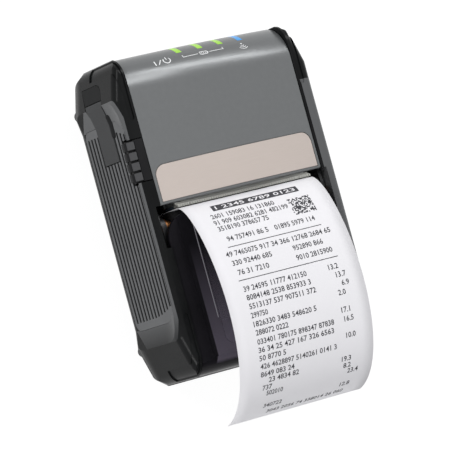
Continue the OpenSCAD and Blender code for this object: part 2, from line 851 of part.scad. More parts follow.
module platen_gear() {
    color("#e4e1d8") gear(platen_teeth, platen_phase, gear_span, platen_y, platen_z, shaft_r + 0.02);
}
module idler_gear() {
    color("#e4e1d8") gear(idler_teeth, idler_phase, gear_span, idler_y, idler_z, 1.2 + run_gap);
}
module motor_pinion() {
    color("#c9a34a") {
        gear(pinion_teeth, pinion_phase, gear_span, motor_y, motor_z, 0.9);
        rod_x([gear_x - 1.45, gear_span[1]], motor_y, motor_z, 0.9);
    }
}

post_x = deck_half - 3.7;
module main_board() {
    color("#1f6b3a") difference() {
        block([-deck_half + 0.5, deck_half - 0.5], board_y, [board_z, board_z + board_t]);
        for (sx = [-1, 1], y = [board_y[0] + 2.5, board_y[1] - 2.5])
            translate([sx * post_x, y, board_z - 1]) cylinder(r = 1.1, h = board_t + 2);
    }
}
board_top = board_z + board_t;

module processor() {
    color("#1b1b1d") {
        block([-6, 6], [34, 46], [board_top, board_top + 1.4]);
        block([10, 18], [30, 35], [board_top, board_top + 1.2]);
    }
}
module radio_module() {
    color("#c4c7c9") block([14, 29], [38, 48], [board_top, board_top + 2.2]);
}
socket_x = side_x - 4.1;
module data_socket() {
    color("#b3b6b8") difference() {
        block([-socket_x, -deck_half + 5.2], [27.2, 34.9], [board_top, board_top + 4]);
        block([-socket_x - 0.6, -deck_half + 3.7], [27.7, 34.4], [board_top + 0.5, board_top + 3.5]);
    }
}
module power_jack() {
    y = 38.7;
    color("#161618") difference() {
        block([-socket_x, -deck_half + 7.7], [y - 2.7, y + 2.7], [board_top, board_top + 5.6]);
        rod_x([-socket_x - 0.6, -deck_half + 5.7], y, board_top + 2.8, 1.75);
    }
    color("#161618") rod_x([-socket_x + 0.8, -deck_half + 5.8], y, board_top + 2.8, 0.55);
}
module power_switch() {
    color("#2a2a2c") {
        block([button_x - 3.2, button_x + 3.2], [50, 53.2], [board_top, board_top + 3.4]);
        rod_y([53.2 - eps, 53.9], button_x, button_z + 0.6, 0.9);
    }
}
module power_button() {
    color("#2b2d30") {
        translate([button_x, end_y - 1.4, button_z]) along_y(2.4) pill(button_w, button_h, 0);
        translate([button_x, end_y - wall - 0.6, button_z])
            along_y(0.8) pill(button_w + 1.6, button_h + 1.6, 0);
        rod_y([54.5, end_y - 1.8], button_x, button_z + 0.4, 1.6);
    }
}

// Tray that cradles the roll, with its side plates and rear foot
module media_tray() {
    tray_wall = roll_z - tray_r - floor_z;
    plate_x = [paper_w / 2 + 0.6, paper_w / 2 + 1.8];
    color("#2c2e31") difference() {
        union() {
            translate([0, roll_y, roll_z]) along_x(2 * plate_x[0]) tray_profile(tray_r + tray_wall);
            both_sides() translate([(plate_x[0] + plate_x[1]) / 2, roll_y, roll_z])
                along_x(plate_x[1] - plate_x[0] + 0.02) plate_profile(tray_r + tray_wall + 0.3);
            block([-5, 5], [-12.6, -6.6], [floor_z, sensor_z]);
        }
        rod_x([-plate_x[0], plate_x[0]], roll_y, roll_z, tray_r);
        // clear of the rounded lower sides of the shell
        both_sides() {
            block([paper_w / 2 - 3.6, big], [-big, 0], [0, floor_z + 0.6]);
            block([plate_x[0], big], [-big, 0], [0, floor_z + 1.1]);
        }
    }
}
module tray_profile(r) {
    intersection() {
        circle(r);
        polygon([[0, 0], [-60, -6], [-60, -60], [60, -60], [60, -60 * tan(32)]]);
    }
}
module plate_profile(r) {
    intersection() {
        circle(r);
        translate([-40, -40]) square([40 - roll_y - 9.6, 44.6]);
    }
}
sensor_z = 11;
module paper_sensor() {
    color("#141416") {
        block([-4, 4], [-11.4, -7.4], [sensor_z, sensor_z + 2.4]);
    }
}

// Paper: the web leaves the roll at its lower rear and turns up into the print line
rest_z = roll_z - (tray_r - roll_r) + 0.3;
turn = [nip_y, 30];
turn_r = 6;
function web_points() =
    let(v = [turn[0] - roll_y, turn[1] - rest_z],
        a = atan2(v[1], v[0]) - acos(roll_r / norm(v)),
        leave = [roll_y, rest_z] + (roll_r + 0.25) * [cos(a), sin(a)],
        slope = a + 90,
        c = [nip_y - turn_r, turn[1] + turn_r * tan((90 - slope) / 2)])
    concat([leave], [for (t = [slope - 90 : (90 - slope) / 8 : 0.001]) c + turn_r * [cos(t), sin(t)]],
        [[nip_y, 43.9]]);

module paper_web() {
    color("#f4f3f0") band(web_points(), paper_t, [-paper_w / 2, paper_w / 2]);
}
module paper_roll() {
    color("#f6f5f2") difference() {
        rod_x([-paper_w / 2, paper_w / 2], roll_y, rest_z, roll_r);
        rod_x([-paper_w, paper_w], roll_y, rest_z, core_r + 0.05);
    }
}
module roll_core() {
    color("#b99a72") difference() {
        rod_x([-paper_w / 2, paper_w / 2], roll_y, rest_z, core_r);
        rod_x([-paper_w, paper_w], roll_y, rest_z, core_r - core_t);
    }
}

// The printed strip rises out of the slot and falls over the front in two smooth sweeps
function bezier(p, t) = pow(1 - t, 3) * p[0] + 3 * t * pow(1 - t, 2) * p[1]
    + 3 * t * t * (1 - t) * p[2] + pow(t, 3) * p[3];
strip_rise = [[nip_y, 44.1], [nip_y - 0.6, 51], [-18, 60], [-38, 60]];
strip_fall = [[-38, 60], [-58, 60], [-74, 52], [-77.6, 38.5]];
strip_steps = 16;
function strip_points() = concat([for (i = [0 : strip_steps]) bezier(strip_rise, i / strip_steps)],
    [for (i = [1 : strip_steps]) bezier(strip_fall, i / strip_steps)]);
module printed_strip() {
    color("#fbfafa") band(strip_points(), paper_t, [-paper_w / 2, paper_w / 2]);
}

// Outline of the media cover seen from above, with round corners at its free edge
cover_corner = 9;
module cover_plan() {
    x = deck_half;
    translate([-x, -big]) square([2 * x, big + free_edge_y - cover_corner]);
    translate([-x + cover_corner, -big]) square([2 * (x - cover_corner), big + free_edge_y]);
    for (s = [-1, 1]) translate([s * (x - cover_corner), free_edge_y - cover_corner]) circle(cover_corner);
}
// Raised middle panel of the media cover
module panel_plan() {
    x = deck_half - 4.7;
    y0 = -end_y + 5.7;
    r = 2;
    translate([-x, y0 + r]) square([2 * x, 60]);
    translate([-x + r, y0]) square([2 * (x - r), 60]);
    for (s = [-1, 1]) translate([s * (x - r), y0 + r]) circle(r);
}
module window_plan(gap) {
    r = 3;
    x = [-24 - gap, 24 + gap];
    y = [-49.5 - gap, -10.5 + gap];
    translate([x[0] + r, y[0]]) square([x[1] - x[0] - 2 * r, y[1] - y[0]]);
    translate([x[0], y[0] + r]) square([x[1] - x[0], y[1] - y[0] - 2 * r]);
    for (cx = [x[0] + r, x[1] - r], cy = [y[0] + r, y[1] - r]) translate([cx, cy]) circle(r);
}
module tall() { translate([0, 0, 12]) linear_extrude(60) children(); }

panel_step = 0.5;
window_t = 0.9;
module media_cover() {
    skin_z = hinge_z + barrel_r + 0.6;
    skirt = 3.5;
    color("#19191c") difference() {
        union() {
            intersection() {
                difference() {
                    crown_body(0);
                    difference() {
                        crown_body(wall);
                        // skirts beside the rails
                        both_sides() intersection() {
                            translate([deck_half - 0.8, 0, 0]) along_x(1.6) difference() {
                                translate([-end_y, skin_z]) square([end_y - 12, big]);
                                rounded(shell_d - 2 * (wall + skirt), [0, shell_h - wall - skirt - 2.6],
                                    1, end_r - wall - skirt);
                            }
                            block([0, big], [-big, -17], [0, big]);
                        }
                    }
                    // edge band, a step lower than the raised panel
                    difference() {
                        translate([0, 0, -1]) tall() difference() {
                            translate([-50, -80]) square([100, 90]);
                            panel_plan();
                        }
                        crown_body(panel_step);
                    }
                }
                tall() cover_plan();
                union() {
                    block([-big, big], [-big, 0], [skin_z, big]);
                    block([-knuckle_x[0] + 0.3, knuckle_x[0] - 0.3], [-big, 0], [hinge_z, big]);
                }
            }
            rod_x([-knuckle_x[0] + 0.3, knuckle_x[0] - 0.3], hinge_y, hinge_z, barrel_r);
        }
        difference() {
            tall() window_plan(0.1);
            crown_body(window_t + 0.05);
        }
        tall() window_plan(-2);
        rod_x([-knuckle_x[0], knuckle_x[0]], hinge_y, hinge_z, pin_r + run_gap);
    }
}

module cover_window() {
    color("#3a3744", 0.6) difference() {
        intersection() {
            tall() window_plan(0);
            crown_body(0);
        }
        crown_body(window_t);
    }
}

// Inner frame that hangs the platen from the cover's free edge
cheek_x = [deck_half - 2.2, deck_half - 0.2];
module cover_frame() {
    color("#202123") difference() {
        union() {
            intersection() {
                difference() {
                    crown_body(wall + 0.05);
                    crown_body(wall + 2);
                }
                block([-cheek_x[1], cheek_x[1]], [-16.5, -11.5], [30, big]);
            }
            both_sides() intersection() {
                union() {
                    rod_x(cheek_x, platen_y, platen_z, 4.3);
                    block(cheek_x, [-16.5, platen_y], [platen_z, big]);
                }
                crown_body(wall + 0.05);
                block([0, big], [-big, big], [0, platen_z + 4.3]);
            }
        }
        both_sides() rod_x([cheek_x[0] - 1, cheek_x[1] + 1], platen_y, platen_z, bush_r + 0.02);
    }
}

module hinge_pin() {
    color("#c6c9cb") rod_x([-knuckle_x[1], knuckle_x[1]], hinge_y, hinge_z, pin_r);
}
module platen_bushes() {
    outer = latch_x[1] - 0.1;
    color("#b5713a") difference() {
        union() {
            both_sides() rod_x([cheek_x[0] - 0.1, outer], platen_y, platen_z, bush_r);
            // the left bush also spaces the shaft and carries a thrust flange
            rod_x([-cheek_x[0], -paper_w / 2 - 0.4], platen_y, platen_z, bush_r);
            rod_x([-cheek_x[0] - 0.02 + 0.1, -cheek_x[0] + 1.2], platen_y, platen_z, bush_r + 0.9);
        }
        rod_x([-outer - 1, outer + 1], platen_y, platen_z, shaft_r + run_gap);
    }
}
module platen_shaft() {
    color("#c6c9cb") rod_x([-latch_x[1] + 0.2, latch_x[1] - 0.2], platen_y, platen_z, shaft_r);
}
module platen_rubber() {
    color("#2a2a2c") difference() {
        rod_x([-paper_w / 2, paper_w / 2], platen_y, platen_z, platen_r);
        rod_x([-paper_w, paper_w], platen_y, platen_z, shaft_r + 0.02);
    }
}

// Latch: a cross shaft with a hook at each end that reaches over the bush
module latch_shaft() {
    nose_z = platen_z + bush_r + 0.4;
    arm = [[latch_y, latch_z + 2.9], [4, nose_z + 1], [-1, nose_z + 2], [-4, nose_z + 2], [-4, nose_z],
        [0.6, nose_z - 1], [1.6, platen_z - 1], [7.4, latch_z - 1.6]];
    color("#aeb1b3") difference() {
        union() {
            rod_x([-latch_x[1], latch_x[1]], latch_y, latch_z, latch_r);
            both_sides() {
                rod_x(latch_x, latch_y, latch_z, 2.9);
                translate([(latch_x[0] + latch_x[1]) / 2, 0, 0])
                    along_x(latch_x[1] - latch_x[0]) polygon(arm);
            }
            // tail under the release lever's tongue
            block([-latch_x[1], -latch_x[0]], [latch_y, 15.4], [34.1, 35.4]);
            block([-latch_x[1] - 1, -latch_x[0]], [13.6, 15.4], [34.1, 35.4]);
        }
        rod_x([-latch_x[1] - 1, latch_x[1] + 1], hinge_y, hinge_z, swing_r);
    }
}
module latch_spring() {
    color("#d0d3d5") difference() {
        rod_x([bay_half - 8, bay_half - 2], latch_y, latch_z, latch_r + 0.6);
        rod_x([bay_half - 9, bay_half - 1], latch_y, latch_z, latch_r + 0.02);
    }
}

module battery_pack() {
    z = [battery_z0, battery_z0 + battery_h];
    color("#2d2f32") difference() {
        union() {
            block([-battery_w / 2 + 0.5, battery_w / 2 - 0.5], [battery_y0, end_y - 4], z);
            intersection() {
                rail_body(0);
                block([-battery_w / 2, battery_w / 2], [end_y - 5, end_y + 1], z);
            }
        }
        // finger grip in the end cap
        for (z = [7.4 : 1.8 : 14.6]) rod_x([-12, 12], end_y + 0.3, z, 0.7);
    }
}
module battery_latch() {
    z0 = battery_z0 + battery_h + 0.3;
    color("#3a3c3f") difference() {
        union() {
            block([battery_latch_x - 4.3, battery_latch_x + 4.3],
                [end_y - wall - 0.4, end_y - 0.1], [z0, z0 + 5.4]);
            block([battery_latch_x - 5.6, battery_latch_x + 5.6], [end_y - wall - 1, end_y - wall - 0.2],
                [z0, z0 + 5.4]);
        }
        for (i = [0 : 2]) rod_x([battery_latch_x - 3, battery_latch_x + 3], end_y, z0 + 1.4 + i * 1.3, 0.45);
    }
}
module battery_contacts() {
    color("#c9a34a") {
        block([-9, 9], [16.4, 19.2], [floor_z, 11]);
        for (x = [-6 : 4 : 6]) block([x - 0.8, x + 0.8], [19.2 - eps, battery_y0 - 0.3], [5, 9.5]);
    }
}

module housing_screws() {
    color("#8f9294") at_screws() {
        translate([0, 0, screw_head_z - 1.6]) cylinder(r = 2, h = 1.58);
        translate([0, 0, screw_head_z - 0.03]) cylinder(r = 0.9, h = 12);
    }
}
module rubber_feet() {
    color("#141415") at_feet() cylinder(r = foot_r, h = foot_h + 0.78);
}

// The origin lies under the middle of the whole, with its printed strip
mid_y = (end_y + strip_fall[3][0] - paper_t / 2) / 2;
module centred() {
    translate([0, -mid_y, 0]) children();
}

centred() lower_shell();
centred() upper_frame();
centred() grip_left();
centred() grip_right();
centred() top_cover();
centred() badge_plate();
centred() light_pipes_green();
centred() light_pipe_blue();
centred() light_board();
centred() tear_bar();
centred() head_bracket();
centred() thermal_head();
centred() heat_sink();
centred() head_springs();
centred() head_flex_cable();
centred() gear_bracket();
centred() stepper_motor();
centred() motor_pinion();
centred() idler_gear();
centred() main_board();
centred() processor();
centred() radio_module();
centred() data_socket();
centred() power_jack();
centred() power_switch();
centred() power_button();
centred() interface_flap();
centred() flap_anchor();
centred() media_tray();
centred() paper_sensor();
centred() paper_roll();
centred() roll_core();
centred() paper_web();
centred() printed_strip();
centred() media_cover();
centred() cover_window();
centred() cover_frame();
centred() hinge_pin();
centred() platen_shaft();
centred() platen_rubber();
centred() platen_gear();
centred() platen_bushes();
centred() latch_shaft();
centred() latch_spring();
centred() release_lever();
centred() battery_pack();
centred() battery_latch();
centred() battery_contacts();
centred() housing_screws();
centred() rubber_feet();
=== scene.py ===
import bpy
import bmesh
import math
import random
from mathutils import Matrix, Quaternion, Vector
from mathutils.bvhtree import BVHTree


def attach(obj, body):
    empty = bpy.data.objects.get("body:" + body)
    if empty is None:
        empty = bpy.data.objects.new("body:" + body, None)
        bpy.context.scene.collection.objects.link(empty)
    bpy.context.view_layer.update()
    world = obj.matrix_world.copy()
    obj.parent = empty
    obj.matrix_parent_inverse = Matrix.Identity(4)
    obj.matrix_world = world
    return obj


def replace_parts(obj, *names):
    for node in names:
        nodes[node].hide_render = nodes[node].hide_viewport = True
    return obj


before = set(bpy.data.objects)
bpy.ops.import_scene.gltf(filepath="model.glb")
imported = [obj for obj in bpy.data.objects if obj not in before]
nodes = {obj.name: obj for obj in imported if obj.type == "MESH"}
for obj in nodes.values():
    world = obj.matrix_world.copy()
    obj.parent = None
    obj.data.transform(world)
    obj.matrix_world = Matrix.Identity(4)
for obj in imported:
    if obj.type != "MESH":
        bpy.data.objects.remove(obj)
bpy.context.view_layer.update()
mm = 0.001
midY = 0.0096    # the housing's middle lies this far behind the origin
print("frame loaded:", len(nodes), "nodes")

shot = {
    "place": (-0.60237, -0.04788, 1.00563),
    "turn": (0.9543605, 0.0567624, -0.2667622, -0.1217045),
    "lens": 253.92,
    "floorSize": 6.0,
    "floorZ": -0.0002,
    "ambient": 0.36,
    "backdrop": 1.0,
}
lamps = {
    "keySoftbox": {"place": (-1.36, -0.62, 1.02), "size": (0.4, 0.5), "power": 7.5},
    "leftGlint": {"place": (-1.5, 0.78, 0.9), "size": (0.24, 0.3), "power": 6},
    "rearStrip": {"place": (0.96, 1.15, 1.17), "size": (1.3, 0.26), "power": 12},
    "topPanel": {"place": (0.35, 0.95, 1.5), "size": (0.6, 0.6), "power": 7},
    "frontFill": {"place": (-1.1, -1.3, 0.7), "size": (0.7, 0.6), "power": 3},
}


def linkAll(tree, pairs):
    for a, b in pairs:
        tree.links.new(a, b)


def setUpShot():
    scene = bpy.context.scene
    scene.view_settings.view_transform = "Standard"
    camera = bpy.data.objects.new("camera", bpy.data.cameras.new("camera"))
    camera.location = shot["place"]
    camera.rotation_mode = "QUATERNION"
    camera.rotation_quaternion = Quaternion(shot["turn"])
    camera.data.lens = shot["lens"]
    camera.data.sensor_width = 36
    camera.data.clip_start = 0.05
    camera.data.clip_end = 20
    scene.collection.objects.link(camera)
    scene.camera = camera
    for name, lamp in lamps.items():
        light = bpy.data.lights.new(name, "AREA")
        light.shape = "RECTANGLE"
        light.size, light.size_y = lamp["size"]
        light.energy = lamp["power"]
        holder = bpy.data.objects.new(name, light)
        holder.location = lamp["place"]
        holder.rotation_euler = (-Vector(lamp["place"])).to_track_quat("-Z", "Y").to_euler()
        scene.collection.objects.link(holder)


# one where the camera, a reflection or a clear piece looks at the backdrop
def seenRays(tree):
    path = tree.nodes.new("ShaderNodeLightPath")
    first = tree.nodes.new("ShaderNodeMath")
    second = tree.nodes.new("ShaderNodeMath")
    first.operation = second.operation = "MAXIMUM"
    linkAll(tree, [(path.outputs["Is Camera Ray"], first.inputs[0]),
                   (path.outputs["Is Glossy Ray"], first.inputs[1]),
                   (first.outputs[0], second.inputs[0]),
                   (path.outputs["Is Transmission Ray"], second.inputs[1])])
    return second.outputs[0]


def setUpWorld():
    world = bpy.data.worlds.new("studio")
    bpy.context.scene.world = world
    world.use_nodes = True
    tree = world.node_tree
    tree.nodes.clear()
    seen = tree.nodes.new("ShaderNodeBackground")
    seen.inputs["Color"].default_value = (1, 1, 1, 1)
    seen.inputs["Strength"].default_value = shot["backdrop"]
    lit = tree.nodes.new("ShaderNodeBackground")
    lit.inputs["Color"].default_value = (0.97, 0.98, 1, 1)
    lit.inputs["Strength"].default_value = shot["ambient"]
    mix = tree.nodes.new("ShaderNodeMixShader")
    out = tree.nodes.new("ShaderNodeOutputWorld")
    linkAll(tree, [(seenRays(tree), mix.inputs[0]), (lit.outputs[0], mix.inputs[1]),
                   (seen.outputs[0], mix.inputs[2]), (mix.outputs[0], out.inputs["Surface"])])


def makeFloor():
    mesh = bpy.data.meshes.new("floor")
    shape = bmesh.new()
    bmesh.ops.create_grid(shape, x_segments=1, y_segments=1, size=shot["floorSize"] / 2)
    bmesh.ops.translate(shape, verts=shape.verts, vec=(0, 0, shot["floorZ"]))
    shape.to_mesh(mesh)
    shape.free()
    floor = bpy.data.objects.new("floor", mesh)
    bpy.context.scene.collection.objects.link(floor)
    paint = bpy.data.materials.new("paleFloor")
    paint.use_nodes = True
    tree = paint.node_tree
    tree.nodes.clear()
    matt = tree.nodes.new("ShaderNodeBsdfDiffuse")
    matt.inputs["Color"].default_value = (0.8, 0.8, 0.8, 1)
    glow = tree.nodes.new("ShaderNodeEmission")
    glow.inputs["Strength"].default_value = 0.93
    dim = tree.nodes.new("ShaderNodeBsdfDiffuse")    # keeps a faint shadow on the white
    dim.inputs["Color"].default_value = (0.16, 0.16, 0.16, 1)
    both = tree.nodes.new("ShaderNodeAddShader")
    mix = tree.nodes.new("ShaderNodeMixShader")
    out = tree.nodes.new("ShaderNodeOutputMaterial")
    linkAll(tree, [(dim.outputs[0], both.inputs[0]), (glow.outputs[0], both.inputs[1]),
                   (seenRays(tree), mix.inputs[0]), (matt.outputs[0], mix.inputs[1]),
                   (both.outputs[0], mix.inputs[2]), (mix.outputs[0], out.inputs["Surface"])])
    mesh.materials.append(paint)


setUpShot()
setUpWorld()
makeFloor()
print("camera, lamps and floor ready")


def newGroup(name, inputs, outputs):
    tree = bpy.data.node_groups.new(name, "ShaderNodeTree")
    for label, kind, value in inputs:
        socket = tree.interface.new_socket(name=label, in_out="INPUT", socket_type=kind)
        if value is not None:
            socket.default_value = value
    for label in outputs:
        tree.interface.new_socket(name=label, in_out="OUTPUT", socket_type="NodeSocketFloat")
    return tree, tree.nodes.new("NodeGroupInput"), tree.nodes.new("NodeGroupOutput")


def mathNode(tree, operation, a=None, b=None, clamp=False):
    node = tree.nodes.new("ShaderNodeMath")
    node.operation = operation
    node.use_clamp = clamp
    for socket, value in zip(node.inputs, (a, b)):
        if value is None:
            continue
        if isinstance(value, (int, float)):
            socket.default_value = value
        else:
            tree.links.new(value, socket)
    return node.outputs[0]


def noiseNode(tree, vector, scale, detail=2.0, rough=0.5):
    node = tree.nodes.new("ShaderNodeTexNoise")
    node.inputs["Detail"].default_value = detail
    node.inputs["Roughness"].default_value = rough
    tree.links.new(vector, node.inputs["Vector"])
    if isinstance(scale, (int, float)):
        node.inputs["Scale"].default_value = scale
    else:
        tree.links.new(scale, node.inputs["Scale"])
    return node.outputs["Fac"]


# fine spark-eroded texture with slow patches of wear
def makeMouldGrain():
    tree, start, end = newGroup("mouldGrain", [("Vector", "NodeSocketVector", None),
                                               ("Grain Scale", "NodeSocketFloat", 2600.0),
                                               ("Patch Scale", "NodeSocketFloat", 45.0)],
                                ["Height", "Patches"])
    fine = noiseNode(tree, start.outputs["Vector"], start.outputs["Grain Scale"], 3.0, 0.6)
    slow = noiseNode(tree, start.outputs["Vector"], start.outputs["Patch Scale"], 4.0, 0.55)
    wide = mathNode(tree, "SUBTRACT", slow, 0.3)
    linkAll(tree, [(fine, end.inputs["Height"]),
                   (mathNode(tree, "MULTIPLY", wide, 2.5, True), end.inputs["Patches"])])
    return tree


# long fine scratches along one axis
def makeBrushLines():
    tree, start, end = newGroup("brushLines", [("Vector", "NodeSocketVector", None),
                                               ("Stretch", "NodeSocketVector", (40, 4000, 4000)),
                                               ("Patch Scale", "NodeSocketFloat", 60.0)],
                                ["Height", "Patches"])
    scaled = tree.nodes.new("ShaderNodeVectorMath")
    scaled.operation = "MULTIPLY"
    linkAll(tree, [(start.outputs["Vector"], scaled.inputs[0]),
                   (start.outputs["Stretch"], scaled.inputs[1])])
    lines = noiseNode(tree, scaled.outputs[0], 1.0, 2.0)
    slow = noiseNode(tree, start.outputs["Vector"], start.outputs["Patch Scale"], 3.0)
    both = mathNode(tree, "ADD", mathNode(tree, "MULTIPLY", lines, 0.7),
                    mathNode(tree, "MULTIPLY", slow, 0.3))
    linkAll(tree, [(lines, end.inputs["Height"]), (both, end.inputs["Patches"])])
    return tree


# rings round an axis along X, as on the end of a wound roll
def makeWindings():
    tree, start, end = newGroup("windings", [("Vector", "NodeSocketVector", None),
                                             ("Axis", "NodeSocketVector", (0, 0, 0)),
                                             ("Turns Per Metre", "NodeSocketFloat", 4000.0)],
                                ["Height", "Patches"])
    away = tree.nodes.new("ShaderNodeVectorMath")
    away.operation = "SUBTRACT"
    flat = tree.nodes.new("ShaderNodeVectorMath")
    flat.operation = "MULTIPLY"
    flat.inputs[1].default_value = (0, 1, 1)
    length = tree.nodes.new("ShaderNodeVectorMath")
    length.operation = "LENGTH"
    rings = tree.nodes.new("ShaderNodeTexNoise")
    rings.noise_dimensions = "1D"
    rings.inputs["Scale"].default_value = 1.0
    rings.inputs["Detail"].default_value = 1.0
    linkAll(tree, [(start.outputs["Vector"], away.inputs[0]), (start.outputs["Axis"], away.inputs[1]),
                   (away.outputs[0], flat.inputs[0]), (flat.outputs[0], length.inputs[0]),
                   (mathNode(tree, "MULTIPLY", length.outputs["Value"], start.outputs["Turns Per Metre"]),
                    rings.inputs["W"]),
                   (rings.outputs["Fac"], end.inputs["Height"]),
                   (rings.outputs["Fac"], end.inputs["Patches"])])
    return tree


# the grip's grooves, with painted shade in them, and the smooth pad round them, which darkens towards the
# front corner as painted shade, told by where they lie on the side
def makeSideZone():
    tree, start, end = newGroup("sideZone", [("Vector", "NodeSocketVector", None),
                                             ("Middle Y", "NodeSocketFloat", midY),
                                             ("Pad X", "NodeSocketFloat", 0.0398),
                                             ("Half Length", "NodeSocketFloat", 0.0368),
                                             ("Shoulder Slope", "NodeSocketFloat", 4.65),
                                             ("Inner X", "NodeSocketFloat", 0.0398),
                                             ("Low Z", "NodeSocketFloat", 0.0065),
                                             ("Chamfer From", "NodeSocketFloat", 0.030),
                                             ("Nose Y", "NodeSocketFloat", 0.0365)],
                                ["Pad", "Groove"])
    split = tree.nodes.new("ShaderNodeSeparateXYZ")
    tree.links.new(start.outputs["Vector"], split.inputs[0])
    side = mathNode(tree, "ABSOLUTE", split.outputs["X"])
    wider = mathNode(tree, "ADD", split.outputs["X"], 0.0037)    # covers the top of the right rail too
    inner = mathNode(tree, "MAXIMUM", side, wider)
    away = mathNode(tree, "SUBTRACT", split.outputs["Y"], start.outputs["Middle Y"])
    along = mathNode(tree, "ABSOLUTE", away)
    proud = mathNode(tree, "SUBTRACT", side, start.outputs["Pad X"])
    shoulder = mathNode(tree, "MULTIPLY", mathNode(tree, "MAXIMUM", proud, 0.0),
                        start.outputs["Shoulder Slope"])
    reach = mathNode(tree, "ADD", start.outputs["Half Length"], shoulder)
    inside = mathNode(tree, "GREATER_THAN", reach, along)
    outside = mathNode(tree, "GREATER_THAN", inner, start.outputs["Inner X"])
    past = mathNode(tree, "SUBTRACT", along, start.outputs["Chamfer From"])
    chamfer = mathNode(tree, "MULTIPLY", mathNode(tree, "MAXIMUM", past, 0.0), 0.9)
    lower = mathNode(tree, "ADD", start.outputs["Low Z"], chamfer)
    above = mathNode(tree, "GREATER_THAN", split.outputs["Z"], lower)
    pad = mathNode(tree, "MULTIPLY", mathNode(tree, "MULTIPLY", inside, outside), above)
    ahead = mathNode(tree, "ADD", split.outputs["Y"], start.outputs["Nose Y"])
    frontShade = mathNode(tree, "MULTIPLY", ahead, 80.0, True)
    pad = mathNode(tree, "MULTIPLY", pad, frontShade)    # painted shade: the pad darkens into the front corner
    # painted shade deep in the grooves
    grooveShade = mathNode(tree, "MULTIPLY", mathNode(tree, "MULTIPLY", proud, -1.0), 2600.0, True)
    linkAll(tree, [(pad, end.inputs["Pad"]), (grooveShade, end.inputs["Groove"])])
    return tree


# painted light: one on the lever's ribs, nothing on its leaf and between the ribs, where the black stands
# for painted shade
def makeRibZone():
    tree, start, end = newGroup("ribZone", [("Vector", "NodeSocketVector", None),
                                            ("First Y", "NodeSocketFloat", 0.023),
                                            ("Ribs Per Metre", "NodeSocketFloat", 1 / 0.00375),
                                            ("Half Width", "NodeSocketFloat", 0.37),
                                            ("Inner X", "NodeSocketFloat", 0.0387),
                                            ("Outer X", "NodeSocketFloat", 0.0409)], ["Rib"])
    split = tree.nodes.new("ShaderNodeSeparateXYZ")
    tree.links.new(start.outputs["Vector"], split.inputs[0])
    away = mathNode(tree, "SUBTRACT", split.outputs["Y"], start.outputs["First Y"])
    along = mathNode(tree, "MULTIPLY", away, start.outputs["Ribs Per Metre"])
    off = mathNode(tree, "ABSOLUTE", mathNode(tree, "SUBTRACT", mathNode(tree, "FRACT", along), 0.5))
    rib = mathNode(tree, "GREATER_THAN", start.outputs["Half Width"], off)
    side = mathNode(tree, "ABSOLUTE", split.outputs["X"])
    across = mathNode(tree, "MULTIPLY", mathNode(tree, "GREATER_THAN", side, start.outputs["Inner X"]),
                      mathNode(tree, "GREATER_THAN", start.outputs["Outer X"], side))
    linkAll(tree, [(mathNode(tree, "MULTIPLY", rib, across), end.inputs["Rib"])])
    return tree


# painted reflection: the smoked cover lightens towards its front, inside its turned-down rim; a thin
# painted glint runs along the window's seam
def makeSmokeZone():
    tree, start, end = newGroup("smokeZone", [("Vector", "NodeSocketVector", None),
                                              ("Half Width", "NodeSocketFloat", 0.0287),
                                              ("Clear Y", "NodeSocketFloat", -0.044),
                                              ("Dark Y", "NodeSocketFloat", -0.002),
                                              ("Low Z", "NodeSocketFloat", 0.0415),
                                              ("Seam X", "NodeSocketFloat", 0.0248)], ["Haze", "Seam"])
    split = tree.nodes.new("ShaderNodeSeparateXYZ")
    tree.links.new(start.outputs["Vector"], split.inputs[0])
    side = mathNode(tree, "ABSOLUTE", split.outputs["X"])
    room = mathNode(tree, "SUBTRACT", start.outputs["Half Width"], side)
    within = mathNode(tree, "MULTIPLY", room, 3000.0, True)
    span = mathNode(tree, "SUBTRACT", start.outputs["Dark Y"], start.outputs["Clear Y"])
    ahead = mathNode(tree, "SUBTRACT", start.outputs["Dark Y"], split.outputs["Y"])
    fade = mathNode(tree, "DIVIDE", ahead, span, True)
    # a painted glint along the seam
    off = mathNode(tree, "ABSOLUTE", mathNode(tree, "SUBTRACT", side, start.outputs["Seam X"]))
    line = mathNode(tree, "MULTIPLY", mathNode(tree, "GREATER_THAN", 0.00016, off),
                    mathNode(tree, "GREATER_THAN", split.outputs["Y"], -0.03))
    height = mathNode(tree, "SUBTRACT", split.outputs["Z"], start.outputs["Low Z"])
    level = mathNode(tree, "MULTIPLY", height, 800.0, True)
    haze = mathNode(tree, "MULTIPLY", mathNode(tree, "MULTIPLY", within, fade), level)
    linkAll(tree, [(haze, end.inputs["Haze"]), (line, end.inputs["Seam"])])
    return tree


